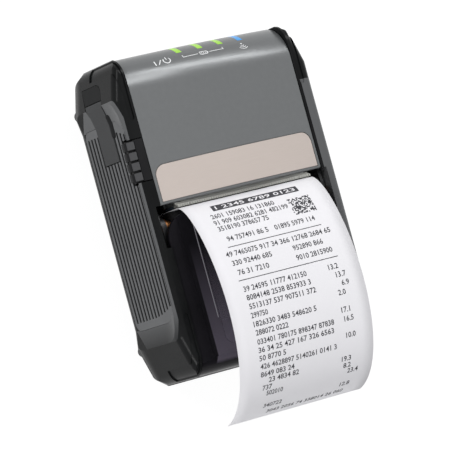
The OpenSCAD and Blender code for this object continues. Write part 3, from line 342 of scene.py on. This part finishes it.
groups = {"grain": makeMouldGrain(), "brush": makeBrushLines(), "windings": makeWindings(),
          "side": makeSideZone(), "ribs": makeRibZone(), "smoke": makeSmokeZone()}
zones = (("Pad", "side"), ("Groove", "side"), ("Rib", "ribs"), ("Haze", "smoke"), ("Seam", "smoke"))
finishes = {
    "housingBlack": {"colour": (0.006, 0.0065, 0.0067), "second": (0.011, 0.0115, 0.012),
                     "rough": (0.2, 0.27), "specular": 0.08, "grain": 2400, "bump": 0.08,
                     "pad": (0.12, 0.122, 0.125)},
    "lowerBlack": {"colour": (0.011, 0.0115, 0.012), "second": (0.016, 0.0165, 0.018),
                   "rough": (0.42, 0.55), "specular": 0.1, "grain": 1800, "bump": 0.2,
                   "pad": (0.12, 0.122, 0.125)},
    # the dark colour in the grooves is painted shade
    "gripRubber": {"colour": (0.13, 0.132, 0.135), "second": (0.165, 0.168, 0.172), "rough": (0.55, 0.66),
                   "specular": 0.1, "grain": 3000, "bump": 0.15, "groove": (0.012, 0.012, 0.0125)},
    "coverPaint": {"colour": (0.15, 0.156, 0.159), "second": (0.158, 0.164, 0.167), "rough": (0.275, 0.29),
                   "metallic": 0.4, "specular": 0.35, "grain": 5200, "bump": 0.003, "patch": 600},
    "badgePlate": {"colour": (0.52, 0.455, 0.415), "second": (0.575, 0.505, 0.465), "rough": (0.42, 0.5),
                   "metallic": 0.15, "specular": 0.3, "kind": "brush", "stretch": (60, 3000, 3000),
                   "bump": 0.03},
    "lightGreen": {"colour": (0.24, 0.52, 0.03), "second": (0.32, 0.62, 0.05), "rough": (0.2, 0.3),
                   "grain": 900, "specular": 0.3, "bump": 0.02, "glow": (0.3, 0.62, 0.02),
                   "glowStrength": 0.25},
    "lightBlue": {"colour": (0.015, 0.24, 0.6), "second": (0.04, 0.34, 0.72), "rough": (0.2, 0.3),
                  "grain": 900, "specular": 0.3, "bump": 0.02, "glow": (0.01, 0.26, 0.7),
                  "glowStrength": 0.25},
    "boardGreen": {"colour": (0.012, 0.12, 0.04), "second": (0.02, 0.18, 0.06), "rough": (0.3, 0.45),
                   "grain": 1200, "bump": 0.1, "patch": 700},
    "brightSteel": {"colour": (0.5, 0.51, 0.52), "second": (0.66, 0.67, 0.68), "rough": (0.24, 0.36),
                    "metallic": 1.0, "kind": "brush", "stretch": (50, 3000, 3000), "bump": 0.04},
    "darkSteel": {"colour": (0.03, 0.031, 0.032), "second": (0.06, 0.061, 0.063), "rough": (0.35, 0.5),
                  "metallic": 0.6, "kind": "brush", "stretch": (50, 3000, 3000), "bump": 0.04},
    "tearSteel": {"colour": (0.24, 0.242, 0.225), "second": (0.42, 0.42, 0.395), "rough": (0.36, 0.5),
                  "metallic": 0.6, "kind": "brush", "stretch": (60, 4000, 4000), "bump": 0.05},
    "headCeramic": {"colour": (0.03, 0.045, 0.06), "second": (0.05, 0.06, 0.075), "rough": (0.12, 0.2),
                    "grain": 600, "bump": 0.01},
    "castAlloy": {"colour": (0.5, 0.51, 0.52), "second": (0.62, 0.63, 0.64), "rough": (0.38, 0.5),
                  "metallic": 1.0, "grain": 1500, "bump": 0.1},
    "amberFilm": {"colour": (0.42, 0.17, 0.03), "second": (0.55, 0.25, 0.05), "rough": (0.2, 0.3),
                  "kind": "brush", "stretch": (1500, 30, 30), "bump": 0.08},
    "chipBlack": {"colour": (0.012, 0.012, 0.013), "second": (0.02, 0.02, 0.021), "rough": (0.4, 0.55),
                  "grain": 2500, "bump": 0.1},
    "shieldTin": {"colour": (0.56, 0.57, 0.58), "second": (0.7, 0.71, 0.72), "rough": (0.22, 0.34),
                  "metallic": 1.0, "grain": 500, "bump": 0.04},
    "nylonBlack": {"colour": (0.01, 0.01, 0.011), "second": (0.016, 0.016, 0.017), "rough": (0.42, 0.5),
                   "grain": 1500, "bump": 0.08},
    "flapRubber": {"colour": (0.054, 0.055, 0.056), "second": (0.064, 0.065, 0.067), "rough": (0.5, 0.62),
                   "specular": 0.08, "grain": 2200, "bump": 0.1},
    "anchorBlack": {"colour": (0.009, 0.0095, 0.01), "second": (0.015, 0.0155, 0.016),
                    "rough": (0.45, 0.55), "specular": 0.06, "grain": 2200, "bump": 0.1},
    "trayBlack": {"colour": (0.012, 0.0125, 0.014), "second": (0.018, 0.019, 0.021), "rough": (0.28, 0.4),
                  "specular": 0.25, "grain": 1500, "bump": 0.05},
    "paper": {"colour": (0.88, 0.87, 0.895), "second": (0.91, 0.9, 0.925), "rough": (0.62, 0.72),
              "specular": 0.2, "grain": 3500, "bump": 0.06},
    "coreBoard": {"colour": (0.36, 0.25, 0.15), "second": (0.46, 0.34, 0.22), "rough": (0.75, 0.85),
                  "kind": "brush", "stretch": (900, 200, 200), "bump": 0.2},
    # the smoked cover carries a painted reflection towards its front and a painted glint on the seam
    "coverSmoke": {"colour": (0.008, 0.0075, 0.009), "second": (0.013, 0.012, 0.015), "rough": (0.16, 0.22),
                   "specular": 0.03, "grain": 900, "bump": 0.006, "haze": (0.11, 0.097, 0.125),
                   "seam": (0.3, 0.29, 0.32)},
    "frameBlack": {"colour": (0.012, 0.012, 0.013), "second": (0.02, 0.02, 0.022), "rough": (0.4, 0.5),
                   "grain": 1800, "bump": 0.08},
    "platenRubber": {"colour": (0.018, 0.018, 0.019), "second": (0.028, 0.028, 0.03), "rough": (0.55, 0.7),
                     "specular": 0.3, "kind": "brush", "stretch": (3000, 60, 60), "bump": 0.08},
    "gearAcetal": {"colour": (0.72, 0.7, 0.64), "second": (0.8, 0.78, 0.72), "rough": (0.36, 0.46),
                   "grain": 900, "bump": 0.03},
    "bronze": {"colour": (0.42, 0.17, 0.06), "second": (0.55, 0.25, 0.1), "rough": (0.3, 0.42),
               "metallic": 1.0, "grain": 2600, "bump": 0.12},
    # the lighter rib tops are painted light, the black between them painted shade
    "leverBlack": {"colour": (0.008, 0.008, 0.009), "second": (0.013, 0.013, 0.014), "rough": (0.3, 0.4),
                   "specular": 0.12, "grain": 1600, "bump": 0.04, "rib": (0.075, 0.075, 0.078)},
    "keyGrey": {"colour": (0.05, 0.051, 0.054), "second": (0.066, 0.067, 0.07), "rough": (0.42, 0.52),
                "grain": 2400, "bump": 0.1},
    "batteryCase": {"colour": (0.013, 0.0135, 0.0145), "second": (0.02, 0.0205, 0.022),
                    "rough": (0.46, 0.58), "specular": 0.35, "grain": 1800, "bump": 0.18},
    "contactGold": {"colour": (0.62, 0.4, 0.12), "second": (0.75, 0.52, 0.2), "rough": (0.2, 0.3),
                    "metallic": 1.0, "grain": 900, "bump": 0.04},
    "footRubber": {"colour": (0.014, 0.014, 0.015), "second": (0.022, 0.022, 0.023), "rough": (0.7, 0.82),
                   "specular": 0.25, "grain": 1800, "bump": 0.2},
    "printInk": {"colour": (0.035, 0.035, 0.04), "second": (0.09, 0.09, 0.1), "rough": (0.6, 0.7),
                 "specular": 0.2, "grain": 5000, "bump": 0.02, "patch": 900},
    "markWhite": {"colour": (0.82, 0.83, 0.83), "second": (0.88, 0.89, 0.89), "rough": (0.4, 0.5),
                  "grain": 3000, "bump": 0.02},
}


def makeFinish(name, look):
    paint = bpy.data.materials.new(name)
    paint.use_nodes = True
    tree = paint.node_tree
    shader = tree.nodes["Principled BSDF"]
    coords = tree.nodes.new("ShaderNodeTexCoord").outputs["Object"]
    effect = tree.nodes.new("ShaderNodeGroup")
    effect.node_tree = groups[look.get("kind", "grain")]
    tree.links.new(coords, effect.inputs["Vector"])
    if "grain" in look:
        effect.inputs["Grain Scale"].default_value = look["grain"]
    if "patch" in look:
        effect.inputs["Patch Scale"].default_value = look["patch"]
    if "stretch" in look:
        effect.inputs["Stretch"].default_value = look["stretch"]
    if "axis" in look:
        effect.inputs["Axis"].default_value = look["axis"]
    blend = tree.nodes.new("ShaderNodeMix")
    blend.data_type = "RGBA"
    blend.inputs["A"].default_value = (*look["colour"], 1)
    blend.inputs["B"].default_value = (*look["second"], 1)
    spread = tree.nodes.new("ShaderNodeMapRange")
    spread.inputs["To Min"].default_value, spread.inputs["To Max"].default_value = look["rough"]
    relief = tree.nodes.new("ShaderNodeBump")
    relief.inputs["Strength"].default_value = look["bump"]
    relief.inputs["Distance"].default_value = 0.1 * mm
    linkAll(tree, [(effect.outputs["Patches"], blend.inputs["Factor"]),
                   (blend.outputs["Result"], shader.inputs["Base Color"]),
                   (effect.outputs["Patches"], spread.inputs["Value"]),
                   (spread.outputs["Result"], shader.inputs["Roughness"]),
                   (effect.outputs["Height"], relief.inputs["Height"]),
                   (relief.outputs["Normal"], shader.inputs["Normal"])])
    ground = blend.outputs["Result"]
    for mask, source in zones:
        if mask.lower() not in look:    # a second colour where the finish changes on one piece, or painted shade, light or reflection on it
            continue
        zone = tree.nodes.new("ShaderNodeGroup")
        zone.node_tree = groups[source]
        over = tree.nodes.new("ShaderNodeMix")
        over.data_type = "RGBA"
        over.inputs["B"].default_value = (*look[mask.lower()], 1)
        linkAll(tree, [(coords, zone.inputs["Vector"]), (ground, over.inputs["A"]),
                       (zone.outputs[mask], over.inputs["Factor"]),
                       (over.outputs["Result"], shader.inputs["Base Color"])])
        ground = over.outputs["Result"]
    shader.inputs["Metallic"].default_value = look.get("metallic", 0)
    shader.inputs["Specular IOR Level"].default_value = look.get("specular", 0.5)
    if "glow" in look:
        shader.inputs["Emission Color"].default_value = (*look["glow"], 1)
        shader.inputs["Emission Strength"].default_value = look["glowStrength"]
    return paint


rollAxis = (0, -0.0204, 0.023)
finishes["rollSide"] = {**finishes["paper"], "kind": "windings", "axis": rollAxis, "bump": 0.25,
                        "second": (0.74, 0.735, 0.75)}
del finishes["rollSide"]["grain"]
paints = {name: makeFinish(name, look) for name, look in finishes.items()}


def makeWindowSmoke():
    # a stronger painted reflection on the window
    paint = makeFinish("windowSmoke", {**finishes["coverSmoke"], "haze": (0.26, 0.23, 0.3),
                                       "rough": (0.06, 0.1)})
    shader = paint.node_tree.nodes["Principled BSDF"]
    shader.inputs["Transmission Weight"].default_value = 0.55
    shader.inputs["IOR"].default_value = 1.5
    return paint


paints["windowSmoke"] = makeWindowSmoke()
wear = {
    "housingBlack": ["upper_frame"],
    "lowerBlack": ["lower_shell"],
    "gripRubber": ["grip_left", "grip_right"],
    "coverPaint": ["top_cover"],
    "badgePlate": ["badge_plate"],
    "lightGreen": ["light_pipes_green"],
    "lightBlue": ["light_pipe_blue"],
    "boardGreen": ["main_board", "light_board"],
    "brightSteel": ["head_springs", "gear_bracket", "hinge_pin", "platen_shaft", "latch_spring",
                    "stepper_motor"],
    "darkSteel": ["head_bracket", "latch_shaft", "housing_screws"],
    "tearSteel": ["tear_bar"],
    "headCeramic": ["thermal_head"],
    "castAlloy": ["heat_sink"],
    "amberFilm": ["head_flex_cable"],
    "chipBlack": ["processor", "paper_sensor"],
    "shieldTin": ["radio_module", "data_socket"],
    "nylonBlack": ["power_jack", "power_switch"],
    "flapRubber": ["interface_flap"],
    "anchorBlack": ["flap_anchor"],
    "trayBlack": ["media_tray"],
    "paper": ["paper_web"],
    "rollSide": ["paper_roll"],
    "coreBoard": ["roll_core"],
    "coverSmoke": ["media_cover"],
    "windowSmoke": ["cover_window"],
    "frameBlack": ["cover_frame"],
    "platenRubber": ["platen_rubber"],
    "gearAcetal": ["platen_gear", "idler_gear"],
    "bronze": ["platen_bushes", "motor_pinion"],
    "leverBlack": ["release_lever"],
    "keyGrey": ["power_button", "battery_latch"],
    "batteryCase": ["battery_pack"],
    "contactGold": ["battery_contacts"],
    "footRubber": ["rubber_feet"],
}
for paintName, worn in wear.items():
    for nodeName in worn:
        nodes[nodeName].data.materials.clear()
        nodes[nodeName].data.materials.append(paints[paintName])
print("finishes on", sum(len(worn) for worn in wear.values()), "nodes")


# turns a bmesh into a finished piece that rides on a body
def keepPiece(name, shape, paint, body, smooth=True):
    mesh = bpy.data.meshes.new(name)
    shape.to_mesh(mesh)
    shape.free()
    if "custom_normal" in mesh.attributes:    # a copied node's own shading doesn't fit its new form
        mesh.attributes.remove(mesh.attributes["custom_normal"])
    mesh.materials.append(paints[paint])
    for face in mesh.polygons:
        face.use_smooth = smooth
    if smooth:
        mesh.set_sharp_from_angle(angle=math.radians(32))
    piece = bpy.data.objects.new(name, mesh)
    bpy.context.scene.collection.objects.link(piece)
    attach(piece, body)
    return piece


# a CAD node's mesh with its loose triangles joined
def copyOfNode(name):
    shape = bmesh.new()
    shape.from_mesh(nodes[name].data)
    bmesh.ops.remove_doubles(shape, verts=shape.verts, dist=2e-6)
    return shape


roof = {
    "crownRadius": 0.20218, "top": 0.0465,       # the cover's arch across the printer
    "rollY": 0.0556, "rollZ": 0.034, "roll": 0.0125, "fadeFrom": 0.030,    # the rounding at the rear
    "columns": 24, "turns": 14, "rows": (0.0007, 0.002, 0.006, 0.014),
    "badgeFront": 0.0139, "badgeRear": 0.0277, "badgeFrom": 0.0275, "badgeTo": 0.0328, "badgeWider": 0.0011,
    "badgeGap": 0.00014, "badgeDepth": 0.00075,
    "lipY": 0.01321, "lipRound": 0.0006,
}


def crownDrop(x):
    return roof["crownRadius"] - math.sqrt(roof["crownRadius"] ** 2 - x ** 2)


# turns the straight rounding into one that follows the arch
def rollDown(shape):
    for vert in shape.verts:
        x, y, z = vert.co
        if y <= roof["rollY"] or z <= roof["fadeFrom"]:
            continue
        drop = crownDrop(x)
        back, up = y - roof["rollY"], z - roof["rollZ"]
        underRoll = roof["roll"] - math.hypot(back, max(up, 0))
        underCrown = roof["top"] - drop - z
        if up <= 0:
            vert.co.z = z - drop * (z - roof["fadeFrom"]) / (roof["rollZ"] - roof["fadeFrom"])
        elif underRoll <= underCrown:
            vert.co.z = z - drop
        else:
            rise = math.sqrt(max((roof["roll"] - underCrown) ** 2 - back ** 2, 0))
            vert.co.z = roof["rollZ"] - drop + rise


# moves the sides of the badge or of its recess outwards along the arch
def widenBadge(shape):
    for vert in shape.verts:
        x, y, z = vert.co
        shallow = roof["top"] - crownDrop(x) - z < roof["badgeDepth"]
        inRows = roof["badgeFront"] < y < roof["badgeRear"]
        if inRows and roof["badgeFrom"] < abs(x) < roof["badgeTo"] and shallow:
            wider = x + math.copysign(roof["badgeWider"], x)
            vert.co.x = wider
            vert.co.z = z - crownDrop(wider) + crownDrop(x)


def cutAcross(shape, faces, place, way):
    edges = dict.fromkeys(edge for face in faces for edge in face.edges)    # once each, in a steady order
    verts = dict.fromkeys(vert for face in faces for vert in face.verts)
    bmesh.ops.bisect_plane(shape, geom=[*verts, *edges, *faces], dist=1e-7, plane_co=place, plane_no=way)


# the faces of the rounding at the rear
def rearFaces(shape):
    middles = ((face, face.calc_center_median()) for face in shape.faces)
    return [face for face, middle in middles if middle.y > roof["rollY"] and middle.z > roof["rollZ"]]


def makeRoof():
    shape = copyOfNode("top_cover")
    cutAcross(shape, shape.faces, (0, roof["rollY"], 0), (0, 1, 0))
    cutAcross(shape, shape.faces, (0, 0, roof["rollZ"]), (0, 0, 1))
    for near in roof["rows"]:
        cutAcross(shape, shape.faces, (0, roof["rollY"] - near, 0), (0, 1, 0))
    for turn in range(1, roof["turns"]):
        angle = math.pi / 2 * turn / roof["turns"]
        cutAcross(shape, rearFaces(shape), (0, roof["rollY"], roof["rollZ"]),
                  (0, -math.sin(angle), math.cos(angle)))
    half = max(vert.co.x for vert in shape.verts)
    for column in range(1, roof["columns"]):
        cutAcross(shape, rearFaces(shape), (half * (2 * column / roof["columns"] - 1), 0, 0), (1, 0, 0))
    rollDown(shape)
    widenBadge(shape)
    lip = [edge for edge in shape.edges if all(vert.co.y < roof["lipY"] and
           roof["top"] - crownDrop(vert.co.x) - vert.co.z < 1e-5 for vert in edge.verts)]
    bmesh.ops.bevel(shape, geom=lip, offset=roof["lipRound"], affect="EDGES", segments=3, profile=0.5,
                    material=-1)
    piece = keepPiece("coverTop", shape, "coverPaint", "base")
    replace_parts(piece, "top_cover")
    shape = copyOfNode("badge_plate")
    widenBadge(shape)
    middle = (roof["badgeFront"] + roof["badgeRear"]) / 2
    half = (roof["badgeRear"] - roof["badgeFront"]) / 2
    for vert in shape.verts:    # a fine gap round the plate
        vert.co.x *= 1 - roof["badgeGap"] / roof["badgeTo"]
        vert.co.y = middle + (vert.co.y - middle) * (1 - roof["badgeGap"] / half)
    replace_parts(keepPiece("badgePlate", shape, "badgePlate", "base"), "badge_plate")
    for node, paint, slot in (("light_pipes_green", "lightGreen", "light_green"),
                              ("light_pipe_blue", "lightBlue", "light_blue")):
        shape = copyOfNode(node)
        rollDown(shape)
        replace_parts(keepPiece(node.replace("_", "-"), shape, paint, "base"), node)
    return piece


tear = {
    "shorter": 0.0017, "from": 0.024,
    "grooveY": 0.0123, "grooveWall": 0.0001, "grooveDepth": 0.0009, "topFrom": 0.0435,
}


# shorter at both ends, with a groove between its edge and the cover's lip
def makeTearBar():
    shape = copyOfNode("tear_bar")
    for y in (tear["grooveY"], tear["grooveY"] + tear["grooveWall"]):
        cutAcross(shape, shape.faces, (0, y, 0), (0, 1, 0))
    for vert in shape.verts:
        x, y, z = vert.co
        if abs(x) > tear["from"]:
            vert.co.x = x - math.copysign(tear["shorter"], x)
        if y > tear["grooveY"] + tear["grooveWall"] / 2 and z > tear["topFrom"]:
            vert.co.z = z - tear["grooveDepth"]
    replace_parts(keepPiece("tearBar", shape, "tearSteel", "base"), "tear_bar")


coverTop = makeRoof()
makeTearBar()
print("cover, badge and light pipes ready")

belly = {
    "inward": 0.0011,
    "reach": 0.0366, "runOut": 0.044, "rows": 6,    # from the middle, along the printer
    "floorZ": 0.002, "fullZ": 0.007,
    "fromX": 0.030, "toX": 0.036,
}


# the finger scoop runs on down into the belly
def makeLowerShell():
    shape = copyOfNode("lower_shell")
    length = belly["runOut"] - belly["reach"]
    for i in range(belly["rows"] + 1):
        row = belly["reach"] + length * i / belly["rows"]
        for side in (-1, 1):
            cutAcross(shape, shape.faces, (0, midY + side * row, 0), (0, 1, 0))
    for vert in shape.verts:
        x, y, z = vert.co
        along = (belly["runOut"] - abs(y - midY)) / length
        up = (z - belly["floorZ"]) / (belly["fullZ"] - belly["floorZ"])
        out = (abs(x) - belly["fromX"]) / (belly["toX"] - belly["fromX"])
        share = min(max(along, 0), 1) * min(max(up, 0), 1) * min(max(out, 0), 1)
        vert.co.x = x - math.copysign(belly["inward"] * share, x)
    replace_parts(keepPiece("bellyShell", shape, "lowerBlack", "base"), "lower_shell")


makeLowerShell()
print("lower shell ready")

strip = {
    "rise": [(0.01075, 0.0441), (0.01015, 0.051), (-0.0084, 0.060), (-0.0284, 0.060)],
    "fall": [(-0.0284, 0.060), (-0.0484, 0.060), (-0.0644, 0.052), (-0.068, 0.0385)],
    "width": 0.058,
    "thick": 0.0001,
    "steps": 120,
    "inkLift": 0.00003,
}


def bezierPoint(p, t):
    a, b, c, d = [Vector(q) for q in p]
    return a * (1 - t) ** 3 + b * 3 * t * (1 - t) ** 2 + c * 3 * t * t * (1 - t) + d * t ** 3


# points along the strip with their distance from the slot
def measureStrip():
    points = [bezierPoint(strip["rise"], i / 200) for i in range(201)]
    points += [bezierPoint(strip["fall"], i / 200) for i in range(1, 201)]
    run = [0.0]
    for a, b in zip(points, points[1:]):
        run.append(run[-1] + (b - a).length)
    return points, run


stripPoints, stripRun = measureStrip()


def onStrip(x, along, lift=0.0):
    along = min(max(along, 0.0), stripRun[-1] - 1e-7)
    low, high = 0, len(stripRun) - 1
    while high - low > 1:
        middle = (low + high) // 2
        if stripRun[middle] <= along:
            low = middle
        else:
            high = middle
    a, b = stripPoints[low], stripPoints[high]
    share = (along - stripRun[low]) / (stripRun[high] - stripRun[low])
    point = a.lerp(b, share)
    way = (b - a).normalized()
    return Vector((x, point.x + way.y * lift, point.y - way.x * lift))


def makePaperStrip():
    shape = bmesh.new()
    bmesh.ops.create_grid(shape, x_segments=12, y_segments=strip["steps"], size=0.5, calc_uvs=False)
    total = stripRun[-1]
    for vert in shape.verts:
        vert.co = onStrip(vert.co.x * strip["width"], (vert.co.y + 0.5) * total)
    bmesh.ops.reverse_faces(shape, faces=shape.faces)
    piece = keepPiece("paperStrip", shape, "paper", "strip")
    thick = piece.modifiers.new("thickness", "SOLIDIFY")
    thick.thickness = strip["thick"]
    thick.offset = 0
    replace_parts(piece, "printed_strip")


makePaperStrip()
print("paper strip ready, length", round(stripRun[-1] / mm, 1), "mm")

# rows of the slip: distance from the slot, then pieces of (left, right) in mm across
slip = {
    "rows": [
        (10.9, [(-20.9, 6)]), (13.7, [(-21.3, 10.4)]), (16.4, [(-21, 0.5)]),
        (20.9, [(-19.6, -2), (0.8, 18.2)]), (26.6, [(-22.8, 22.1)]),
        (30.1, [(-21.7, -4.9), (4.3, 17.2)]), (33.8, [(-20.8, -7.6), (4.2, 19.8)]),
        (40.0, [(-20.9, 6.1), (15.4, 19.8)]), (43.2, [(-20.7, 6.8), (15.5, 22.1)]),
        (46.4, [(-20.6, 8), (15.5, 22.5)]), (49.6, [(-20.8, -13.7), (15.8, 20.1)]),
        (52.8, [(-20.6, 6.4)]), (55.9, [(-20.4, -6.5), (15.9, 20.4)]),
        (59.2, [(-20.4, 12.7), (16, 21.3)]), (62.2, [(-20.4, 12.2)]), (65.2, [(-20.4, -9), (16.3, 21.4)]),
        (68.3, [(-20.2, 12.8)]), (71.3, [(-20.2, -5.7)]), (73.9, [(-16.7, -3.7), (14.6, 19.1)]),
        (76.7, [(-19.2, -15.1), (14.3, 19.2)]), (79.3, [(-17.2, -10.1), (16.4, 22.7)]),
        (85.3, [(-17.1, -9.2), (14.1, 20.4)]), (89.3, [(-14.4, 19)]),
    ],
    "rules": [(23.1, -20.7, 19.5), (35.8, -21.7, 21.1)],
    "banner": (4.8, 7.6, -18.4, 18.6),
    "code": {"left": 11.3, "right": 20.8, "top": 10.2, "bottom": 17.2, "columns": 20, "rows": 15},
    "height": 1.95,
    "bold": 0.014,
    "ruleWidth": 0.28,
    "seed": 7,
}


def addFlatBar(shape, left, right, top, bottom):
    rows = max(1, round(abs(bottom - top) / 0.5))    # a long bar bends with the paper
    made = bmesh.ops.create_grid(shape, x_segments=1, y_segments=rows, size=0.5)["verts"]
    size = (right - left, abs(bottom - top), 1)
    bmesh.ops.scale(shape, verts=made, vec=size)
    bmesh.ops.translate(shape, verts=made, vec=((left + right) / 2, -(top + bottom) / 2, 0))


# digits set between two places across the slip, or in their own width up to the right one
def addNumbers(shape, words, left, right, baseline, height, natural=False):
    curve = bpy.data.curves.new("numbers", "FONT")
    curve.body = words
    curve.resolution_u = 2
    curve.offset = slip["bold"]
    holder = bpy.data.objects.new("numbers", curve)
    mesh = bpy.data.meshes.new_from_object(holder)
    width = max(v.co.x for v in mesh.vertices) - min(v.co.x for v in mesh.vertices)
    tall = max(v.co.y for v in mesh.vertices)
    start = min(v.co.x for v in mesh.vertices)
    if natural:
        left = right - width * height / tall
    for vert in mesh.vertices:
        across = left + (vert.co.x - start) * (right - left) / width
        vert.co = (across, vert.co.y * height / tall - baseline, 0)
    shape.from_mesh(mesh)
    bpy.data.objects.remove(holder)
    bpy.data.meshes.remove(mesh)
    bpy.data.curves.remove(curve)


# groups of random digits that fill a width
def numberWords(rng, width, letter):
    count = max(2, round(width / letter))
    words = ""
    while len(words) < count:
        words += "".join(rng.choice("0123456789") for _ in range(rng.randint(2, 7))) + " "
    return words[:count].rstrip() + ("" if words[count - 1] != " " else "0")


def makePrint():
    rng = random.Random(slip["seed"])
    shape = bmesh.new()
    for base, spans in slip["rows"]:
        for left, right in spans:
            words = numberWords(rng, right - left, 1.28)
            price = right - left < 8 and left > 10
            if price:
                words = "%d.%d" % (rng.randint(2, 30), rng.randint(0, 9))
            addNumbers(shape, words, left, right, base, slip["height"], price)
    for base, left, right in slip["rules"]:
        addFlatBar(shape, left, right, base - slip["ruleWidth"] / 2, base + slip["ruleWidth"] / 2)
    code = slip["code"]
    stepX = (code["right"] - code["left"]) / code["columns"]
    stepS = (code["bottom"] - code["top"]) / code["rows"]
    for column in range(code["columns"]):
        for row in range(code["rows"]):
            if rng.random() < 0.52:
                x, s = code["left"] + column * stepX, code["top"] + row * stepS
                addFlatBar(shape, x, x + stepX, s, s + stepS)
    top, bottom, left, right = slip["banner"]
    addFlatBar(shape, left, right, top, bottom)
    bmesh.ops.triangulate(shape, faces=shape.faces)
    lift = strip["thick"] / 2 + strip["inkLift"]
    for vert in shape.verts:
        vert.co = onStrip(vert.co.x * mm, -vert.co.y * mm, lift)
    keepPiece("printMarks", shape, "printInk", "strip", smooth=False)
    shape = bmesh.new()
    addNumbers(shape, "1 2345 6789 0123", left + 1.4, right - 1.2, bottom - 0.6, bottom - top - 1.2)
    for vert in shape.verts:
        vert.co = onStrip(vert.co.x * mm, -vert.co.y * mm, lift + strip["inkLift"])
    keepPiece("bannerNumbers", shape, "paper", "strip", smooth=False)


makePrint()
print("print on the strip ready")

marks = {
    "anchor": (0.0633, 0.044),          # Y and Z on the rear rounding
    "facing": (0.62, 0.78),
    "reach": 0.01,
    "lift": 0.00004,
    "line": 0.34,
    "strokes": [((-21.4, -0.8), (-21.4, 1.3), 1.3), ((-20.2, -0.8), (-18.6, 1.3), 1.0)],
    "ring": {"middle": (-16.5, 0.4), "radius": 1.35, "gap": 50, "bar": (0.2, 1.7)},
    "bracket": {"left": -9.8, "right": 7.3, "middle": -1.2, "base": -0.15, "tick": 1.0, "space": 2.4},
    "cell": {"width": 3.0, "height": 1.35, "bars": 3},
    "waves": {"middle": (15.9, 0.9), "radii": (1.1, 1.8, 2.5), "dot": 0.38},
}


def addLine(shape, a, b, width):
    a, b = Vector(a), Vector(b)
    made = bmesh.ops.create_grid(shape, x_segments=4, y_segments=1, size=0.5)["verts"]
    way = b - a
    bmesh.ops.scale(shape, verts=made, vec=(way.length, width, 1))
    bmesh.ops.rotate(shape, verts=made, cent=(0, 0, 0),
                     matrix=Matrix.Rotation(math.atan2(way.y, way.x), 3, "Z"))
    middle = (a + b) / 2
    bmesh.ops.translate(shape, verts=made, vec=(middle.x, middle.y, 0))


# part of a ring, angles in degrees from +X
def addArc(shape, middle, radius, width, start, stop):
    ends = [shape.verts.new((radius + side * width / 2, 0, 0)) for side in (-1, 1)]
    edge = shape.edges.new(ends)
    bmesh.ops.rotate(shape, verts=ends, cent=(0, 0, 0), matrix=Matrix.Rotation(math.radians(start), 3, "Z"))
    bmesh.ops.spin(shape, geom=ends + [edge], cent=(0, 0, 0), axis=(0, 0, 1),
                   angle=math.radians(stop - start), steps=24, use_duplicate=False)
    seen = set(ends)    # the arc is every vertex that hangs together with its first two
    grow = list(ends)
    while grow:
        vert = grow.pop()
        for link in vert.link_edges:
            other = link.other_vert(vert)
            if other not in seen:
                seen.add(other)
                grow.append(other)
    bmesh.ops.translate(shape, verts=list(seen), vec=(middle[0], middle[1], 0))


# white signs on the rear rounding: power, battery level and radio
def makeMarks():
    shape = bmesh.new()
    line = marks["line"]
    for a, b, weight in marks["strokes"]:
        addLine(shape, a, b, line * weight)
    ring = marks["ring"]
    x, y = ring["middle"]
    addArc(shape, ring["middle"], ring["radius"], line * 1.1, 90 + ring["gap"], 450 - ring["gap"])
    addLine(shape, (x, y + ring["bar"][0]), (x, y + ring["bar"][1]), line)
    bracket = marks["bracket"]
    base = bracket["base"]
    for side, x in ((-1, bracket["left"]), (1, bracket["right"])):
        addLine(shape, (x, base), (bracket["middle"] + side * bracket["space"], base), line * 0.8)
        addLine(shape, (x, base - line * 0.4), (x, base + bracket["tick"]), line * 0.8)
    cell = marks["cell"]
    x0, x1 = bracket["middle"] - cell["width"] / 2, bracket["middle"] + cell["width"] / 2
    y0, y1 = base - cell["height"] / 2, base + cell["height"] / 2
    for a, b in (((x0, y0), (x1, y0)), ((x0, y1), (x1, y1)), ((x0, y0), (x0, y1)), ((x1, y0), (x1, y1))):
        addLine(shape, a, b, line * 0.8)
    for i in range(cell["bars"]):
        x = x0 + (i + 0.8) * cell["width"] / (cell["bars"] + 0.6)
        addLine(shape, (x, y0 + 0.25), (x, y1 - 0.25), line * 0.8)
    addLine(shape, (x1 + 0.3, base - 0.35), (x1 + 0.3, base + 0.35), line)
    waves = marks["waves"]
    for radius in waves["radii"]:
        addArc(shape, waves["middle"], radius, line * 0.7, 225, 315)
    bmesh.ops.create_circle(shape, cap_ends=True, segments=16, radius=waves["dot"],
                            matrix=Matrix.Translation((waves["middle"][0], waves["middle"][1], 0)))
    bmesh.ops.triangulate(shape, faces=shape.faces)
    cover = bmesh.new()
    cover.from_mesh(coverTop.data)
    tree = BVHTree.FromBMesh(cover)
    out = Vector((0, *marks["facing"])).normalized()
    down = Vector((0, out.z, -out.y))
    start = Vector((0, marks["anchor"][0], marks["anchor"][1]))
    for vert in shape.verts:
        place = start + Vector((vert.co.x * mm, 0, 0)) + down * (vert.co.y * mm)
        hit = tree.ray_cast(place + out * marks["reach"], -out)[0]
        vert.co = hit + out * marks["lift"]
    cover.free()
    bmesh.ops.recalc_face_normals(shape, faces=shape.faces)
    for face in shape.faces:
        if face.normal.dot(out) < 0:
            face.normal_flip()
    keepPiece("signs", shape, "markWhite", "base", smooth=False)


makeMarks()
print("signs ready")
